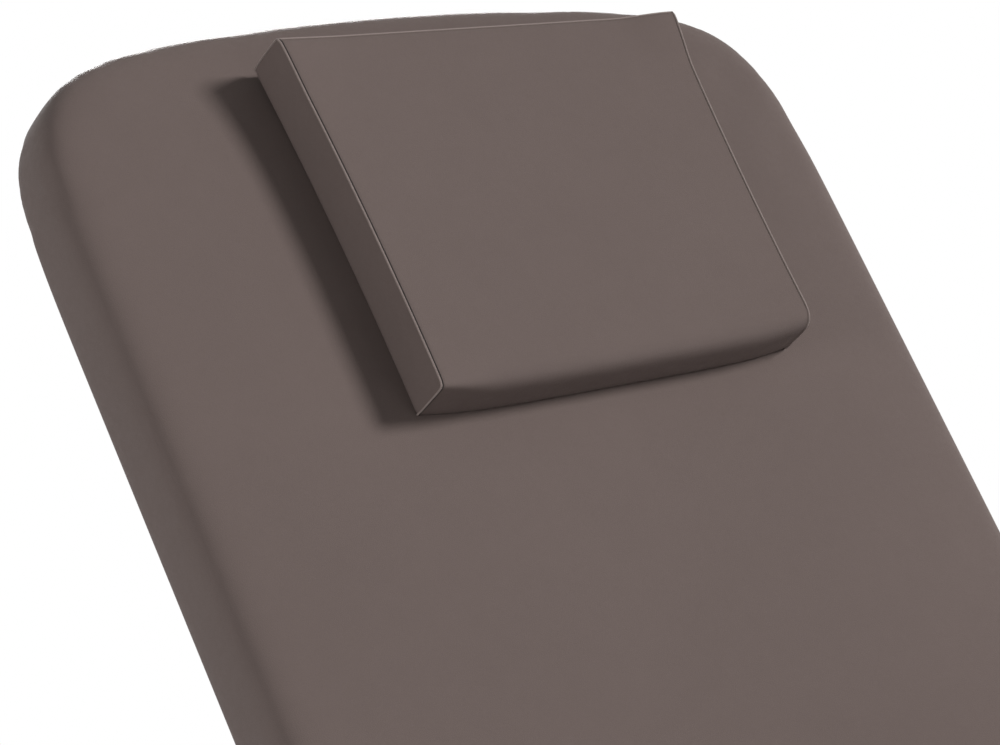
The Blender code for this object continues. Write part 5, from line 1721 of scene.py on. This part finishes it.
@dataclass(frozen=True)
class Controls:
    """The control unit under the seat, and the foot control with its three rocking pedals."""

    unit_corner: float = 0.008
    lid_height: float = 0.014
    lid_seam: float = 0.0004
    sockets: int = 5
    socket_pitch: float = 0.028
    socket_height: float = 0.016
    socket_profile: tuple[Pair, ...] = (
        (0, 0), (0, 0.0088), (0.0016, 0.0088), (0.0022, 0.0078), (0.0022, 0.0052), (0.0010, 0.0046),
        (0.0010, 0),
    )
    screw_across: float = 0.074
    screw_along: float = 0.034
    housing_height: float = 0.030
    boss: float = 0.0075
    bore: float = 0.0043
    cheek: float = 0.005
    shaft_radius: float = 0.004
    tread: float = 0.006
    tread_corner: float = 0.006
    ribs: int = 9
    rib_inset: float = 0.018

    def unit(self, maker: Maker) -> None:
        """Makes the control unit: a tub with its lid, a row of blanked sockets, and its screws."""
        space = Space.of("control_unit")
        (x, y, _), (wide, deep, tall) = space.centre, space.size
        lid_height, corner, half_seam = self.lid_height, self.unit_corner, self.lid_seam / 2
        low = (x, y, space.low.z + (tall - lid_height) / 2 - half_seam)
        tub = block((wide, deep, tall - lid_height - self.lid_seam), low, corner, Axis.UP, 0.002, 8)
        top = (x, y, space.high.z - lid_height / 2 + half_seam)
        lid = block((wide, deep, lid_height - self.lid_seam), top, corner, Axis.UP, 0.0015, 8)
        inner = block((wide - 0.003, deep - 0.003, tall - 0.004), space.centre, 0.007)
        case = joined(tub, lid, inner)
        maker.piece("control_unit_case", case, BLACK_PLASTIC, Body.SEAT_FRAME, ("control_unit",))
        sockets = bmesh.new()
        for k in range(self.sockets):
            across = x + (k - (self.sockets - 1) // 2) * self.socket_pitch
            place = (across, space.high.y - 0.0004, space.low.z + self.socket_height)
            sockets = joined(sockets, lathe(self.socket_profile, place, ALONG, 28))
        maker.piece("control_unit_sockets", sockets, GREY_PLASTIC, Body.SEAT_FRAME)
        screw = Bolt(across=0.007, height=0.003)
        spots = mirrored_spots(space.centre, self.screw_across, self.screw_along, space.low.z + HAIR)
        screws = joined(*(screw.socket(spot, DOWN) for spot in spots))
        maker.piece("control_unit_screws", screws, ZINC, Body.SEAT_FRAME)

    def housing(self) -> bmesh.types.BMesh:
        """The foot control's housing with its two cheeks."""
        space, shaft = Space.of("pedal_housing"), Space.of("pedal_shaft")
        x, y = space.centre.xy
        lid = space.low.z + self.housing_height
        centre = (x, y, space.low.z + self.housing_height / 2)
        whole = block((space.size.x, space.size.y, self.housing_height), centre, 0.010, Axis.UP, 0.0030, 8)
        for end in (-1, 1):
            cheek = bmesh.new()
            for z, radius in ((shaft.centre.z, self.boss), (lid - 0.001, self.boss + 0.004)):
                place = Matrix.Translation((x, y + end * (shaft.size.y / 2 - self.cheek / 2), z))
                bmesh.ops.create_cone(
                    cheek, cap_ends=True, segments=32, radius1=radius, radius2=radius, depth=self.cheek,
                    matrix=place @ toward(ALONG),
                )
            hull = bmesh.ops.convex_hull(cheek, input=cheek.verts)
            inner = set(hull["geom_interior"] + hull["geom_unused"])
            gone = [v for v in inner if isinstance(v, bmesh.types.BMVert)]
            bmesh.ops.delete(cheek, geom=gone, context="VERTS")
            whole_cheek = cheek.verts[:] + cheek.edges[:] + cheek.faces[:]
            cut = bmesh.ops.bisect_plane(
                cheek, geom=whole_cheek, plane_co=(0, 0, lid - 0.003), plane_no=DOWN, clear_outer=True,
            )["geom_cut"]
            bmesh.ops.edgeloop_fill(cheek, edges=[e for e in cut if isinstance(e, bmesh.types.BMEdge)])
            whole = joined(whole, cheek)
        return whole

    def pedal(self, node: str) -> bmesh.types.BMesh:
        """One pedal: a rounded tread on two webs and a bored boss."""
        space = Space.of(node)
        (x, y), (width, length), top = space.centre.xy, space.size.xy, space.high.z
        plate = (width, length, self.tread)
        tread = block(plate, (x, y, top - self.tread / 2), self.tread_corner, Axis.UP, 0.0018, 8)
        profile = ring_profile(self.bore, self.boss, y - length / 2, y + length / 2)
        boss = lathe(profile, (x, 0, space.low.z + self.boss), ALONG, 40)
        places = [(x, y + side * length * 0.3, top - 0.0074) for side in (-1, 1)]
        return joined(tread, boss, *(block((0.044, 0.003, 0.0042), place, 0.002) for place in places))

    def grip(self, node: str) -> bmesh.types.BMesh:
        """The ribbed rubber inlay on a pedal's tread."""
        space = Space.of(node)
        (x, y), (width, length), top = space.centre.xy, space.size.xy, space.high.z
        whole = block((width - 0.010, length - 0.010, 0.0010), (x, y, top + HAIR), 0.004, Axis.UP, 0.0003, 6)
        size, gaps = (0.0026, length - self.rib_inset, 0.0012), self.ribs - 1
        for k in range(self.ribs):
            across = (k - gaps / 2) * (width - self.rib_inset) / gaps
            whole = joined(whole, block(size, (x + across, y, top + 0.0011), 0.0012, Axis.UP, 0.0005, 5))
        return whole

    def make(self, maker: Maker) -> None:
        """Makes the control unit, the foot control's housing and shaft, and its pedals."""
        self.unit(maker)
        maker.piece("pedal_unit_housing", self.housing(), GREY_PLASTIC, Body.BASE, ("pedal_housing",))
        shaft = Space.of("pedal_shaft")
        profile = rounded_rod(self.shaft_radius, shaft.low.y, shaft.high.y, 0.0006)
        rod = lathe(profile, (shaft.centre.x, 0, shaft.centre.z), ALONG, 32)
        maker.piece("pedal_shaft_rod", rod, ZINC, Body.BASE, ("pedal_shaft",))
        for body in (Body.LIFT_PEDAL, Body.BACK_PEDAL, Body.LEG_PEDAL):
            node = body.value
            maker.piece(f"{node}_tread", self.pedal(node), BLACK_PLASTIC, body, (node,))
            maker.piece(f"{node}_grip", self.grip(node), RUBBER, body)


# The studio


@dataclass(frozen=True)
class Softbox:
    """A round soft light: where it hangs from the bed, how broad and strong it is, and if it glints."""

    name: str
    way: Triple
    distance: float
    breadth: float
    power: float
    glints: bool = True

    def hang(self, target: Vector) -> None:
        """Hangs the light so that it faces a target."""
        data = bpy.data.lights.new(self.name, "AREA")
        data.shape = "DISK"
        data.size = self.breadth
        data.energy = self.power
        lamp = bpy.data.objects.new(self.name, data)
        way = Vector(self.way).normalized()
        lamp.matrix_world = Matrix.Translation(target + way * self.distance) @ toward(way)
        lamp.visible_glossy = self.glints
        bpy.context.scene.collection.objects.link(lamp)


@dataclass(frozen=True)
class Studio:
    """The photograph's camera, a plain pale floor, a key light from the right and three softer fills."""

    view_place: Triple = (-1.473237, -1.324823, 1.500775)
    view_right: Triple = (0.79689, -0.60413, 0.0)
    view_down: Triple = (-0.11938, -0.15747, -0.98029)
    view_ahead: Triple = (0.59222, 0.78118, -0.19761)
    lens: float = 129.13
    sensor: float = 36.0
    farthest: float = 100.0
    sky: float = 0.05
    target: Triple = (0.0, 0.45, 0.9)
    lights: tuple[Softbox, ...] = (
        Softbox("key", (0.63, -0.51, 0.586), distance=18.0, breadth=5.1, power=3720.0, glints=False),
        Softbox("left_fill", (-0.950, -0.240, 0.205), distance=4.0, breadth=1.2, power=76.0, glints=False),
        Softbox("low_fill", (0.2, -0.97, -0.10), distance=4.0, breadth=1.5, power=15.0),
        Softbox("back_fill", (0.45, 0.87, 0.20), distance=5.0, breadth=1.8, power=210.0),
    )
    floor_radius: float = 9.0
    floor_tone: float = 0.80
    floor_glow: float = 0.04
    floor_fade: Pair = (1.6, 2.8)

    def make(self) -> None:
        """Sets the camera, the lights, the floor and the view."""
        self.camera()
        for softbox in self.lights:
            softbox.hang(Vector(self.target))
        self.sky_light()
        self.floor()
        bpy.context.scene.view_settings.view_transform = "Standard"

    def camera(self) -> None:
        """Sets the camera where the photograph was taken."""
        data = bpy.data.cameras.new("camera")
        data.lens = self.lens
        data.sensor_width = self.sensor
        data.clip_end = self.farthest
        camera = bpy.data.objects.new("camera", data)
        axes = Matrix((self.view_right, -Vector(self.view_down), -Vector(self.view_ahead))).transposed()
        camera.matrix_world = Matrix.Translation(self.view_place) @ axes.to_4x4()
        bpy.context.scene.collection.objects.link(camera)
        bpy.context.scene.camera = camera

    @staticmethod
    def seen_rays(nodes: bpy.types.Nodes, links: bpy.types.NodeLinks) -> bpy.types.NodeSocket:
        """A socket that is 1 for the rays that show the background: camera, glossy and transmitted ones."""
        path = nodes.new("ShaderNodeLightPath")
        total = path.outputs["Is Camera Ray"]
        for name in ("Is Glossy Ray", "Is Transmission Ray"):
            largest = nodes.new("ShaderNodeMath")
            largest.operation = "MAXIMUM"
            links.new(total, largest.inputs[0])
            links.new(path.outputs[name], largest.inputs[1])
            total = largest.outputs[0]
        return total

    def sky_light(self) -> None:
        """Lights faintly from all round, and shows white where nothing stands."""
        world = bpy.data.worlds.new("studio")
        world.use_nodes = True
        nodes, links = world.node_tree.nodes, world.node_tree.links
        sky = nodes["Background"]
        strength = nodes.new("ShaderNodeMapRange")
        strength.inputs["To Min"].default_value = self.sky
        strength.inputs["To Max"].default_value = 1.0
        links.new(self.seen_rays(nodes, links), strength.inputs["Value"])
        links.new(strength.outputs["Result"], sky.inputs["Strength"])
        sky.inputs["Color"].default_value = (1, 1, 1, 1)
        bpy.context.scene.world = world

    def floor(self) -> None:
        """Lays a pale floor that keeps the bed's shadow and runs out into white."""
        bm = bmesh.new()
        bmesh.ops.create_circle(bm, cap_ends=True, radius=self.floor_radius, segments=96)
        bmesh.ops.translate(bm, vec=(0, 0, -HAIR), verts=bm.verts)
        obj = shaped("floor", bm)
        sheet = NodeSheet("floor_finish")
        distance = sheet.node("VectorMath", {0: sheet.place}, operation="LENGTH").outputs["Value"]
        far = sheet.spread(distance, 0, 1, *self.floor_fade)
        near_tone = sheet.tones(sheet.noise(3, 2), (self.floor_tone,) * 3, (self.floor_tone * 0.99,) * 3)
        tone = sheet.node("Mix", {"Factor": far, 6: near_tone, 7: (0, 0, 0, 1)}, data_type="RGBA").outputs[2]
        seen = self.seen_rays(sheet.tree.nodes, sheet.tree.links)
        glowing = {0: sheet.spread(far, self.floor_glow, 1.0), 1: seen}
        glow = sheet.node("Math", glowing, operation="MULTIPLY").outputs[0]
        plain = sheet.node("Mix", {"Factor": seen, 6: near_tone, 7: tone}, data_type="RGBA").outputs[2]
        sheet.set(Base_Color=plain, Roughness=0.9, Emission_Color=(1, 1, 1, 1), Emission_Strength=glow)
        sheet.shader.inputs["Specular IOR Level"].default_value = 0.0
        obj.data.materials.append(sheet.material)


def main() -> None:
    """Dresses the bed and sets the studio."""
    logging.basicConfig(level=logging.INFO, format="%(message)s")
    maker = Maker()
    Studio().make()
    Padding().make(maker)
    Chassis().make(maker)
    BACK_DRIVE.make(maker)
    LEG_DRIVE.make(maker)
    LiftingColumn().make(maker)
    Base().make(maker)
    Controls().make(maker)
    LOG.info("%d pieces made", len(maker.made))


if __name__ == "__main__":
    main()
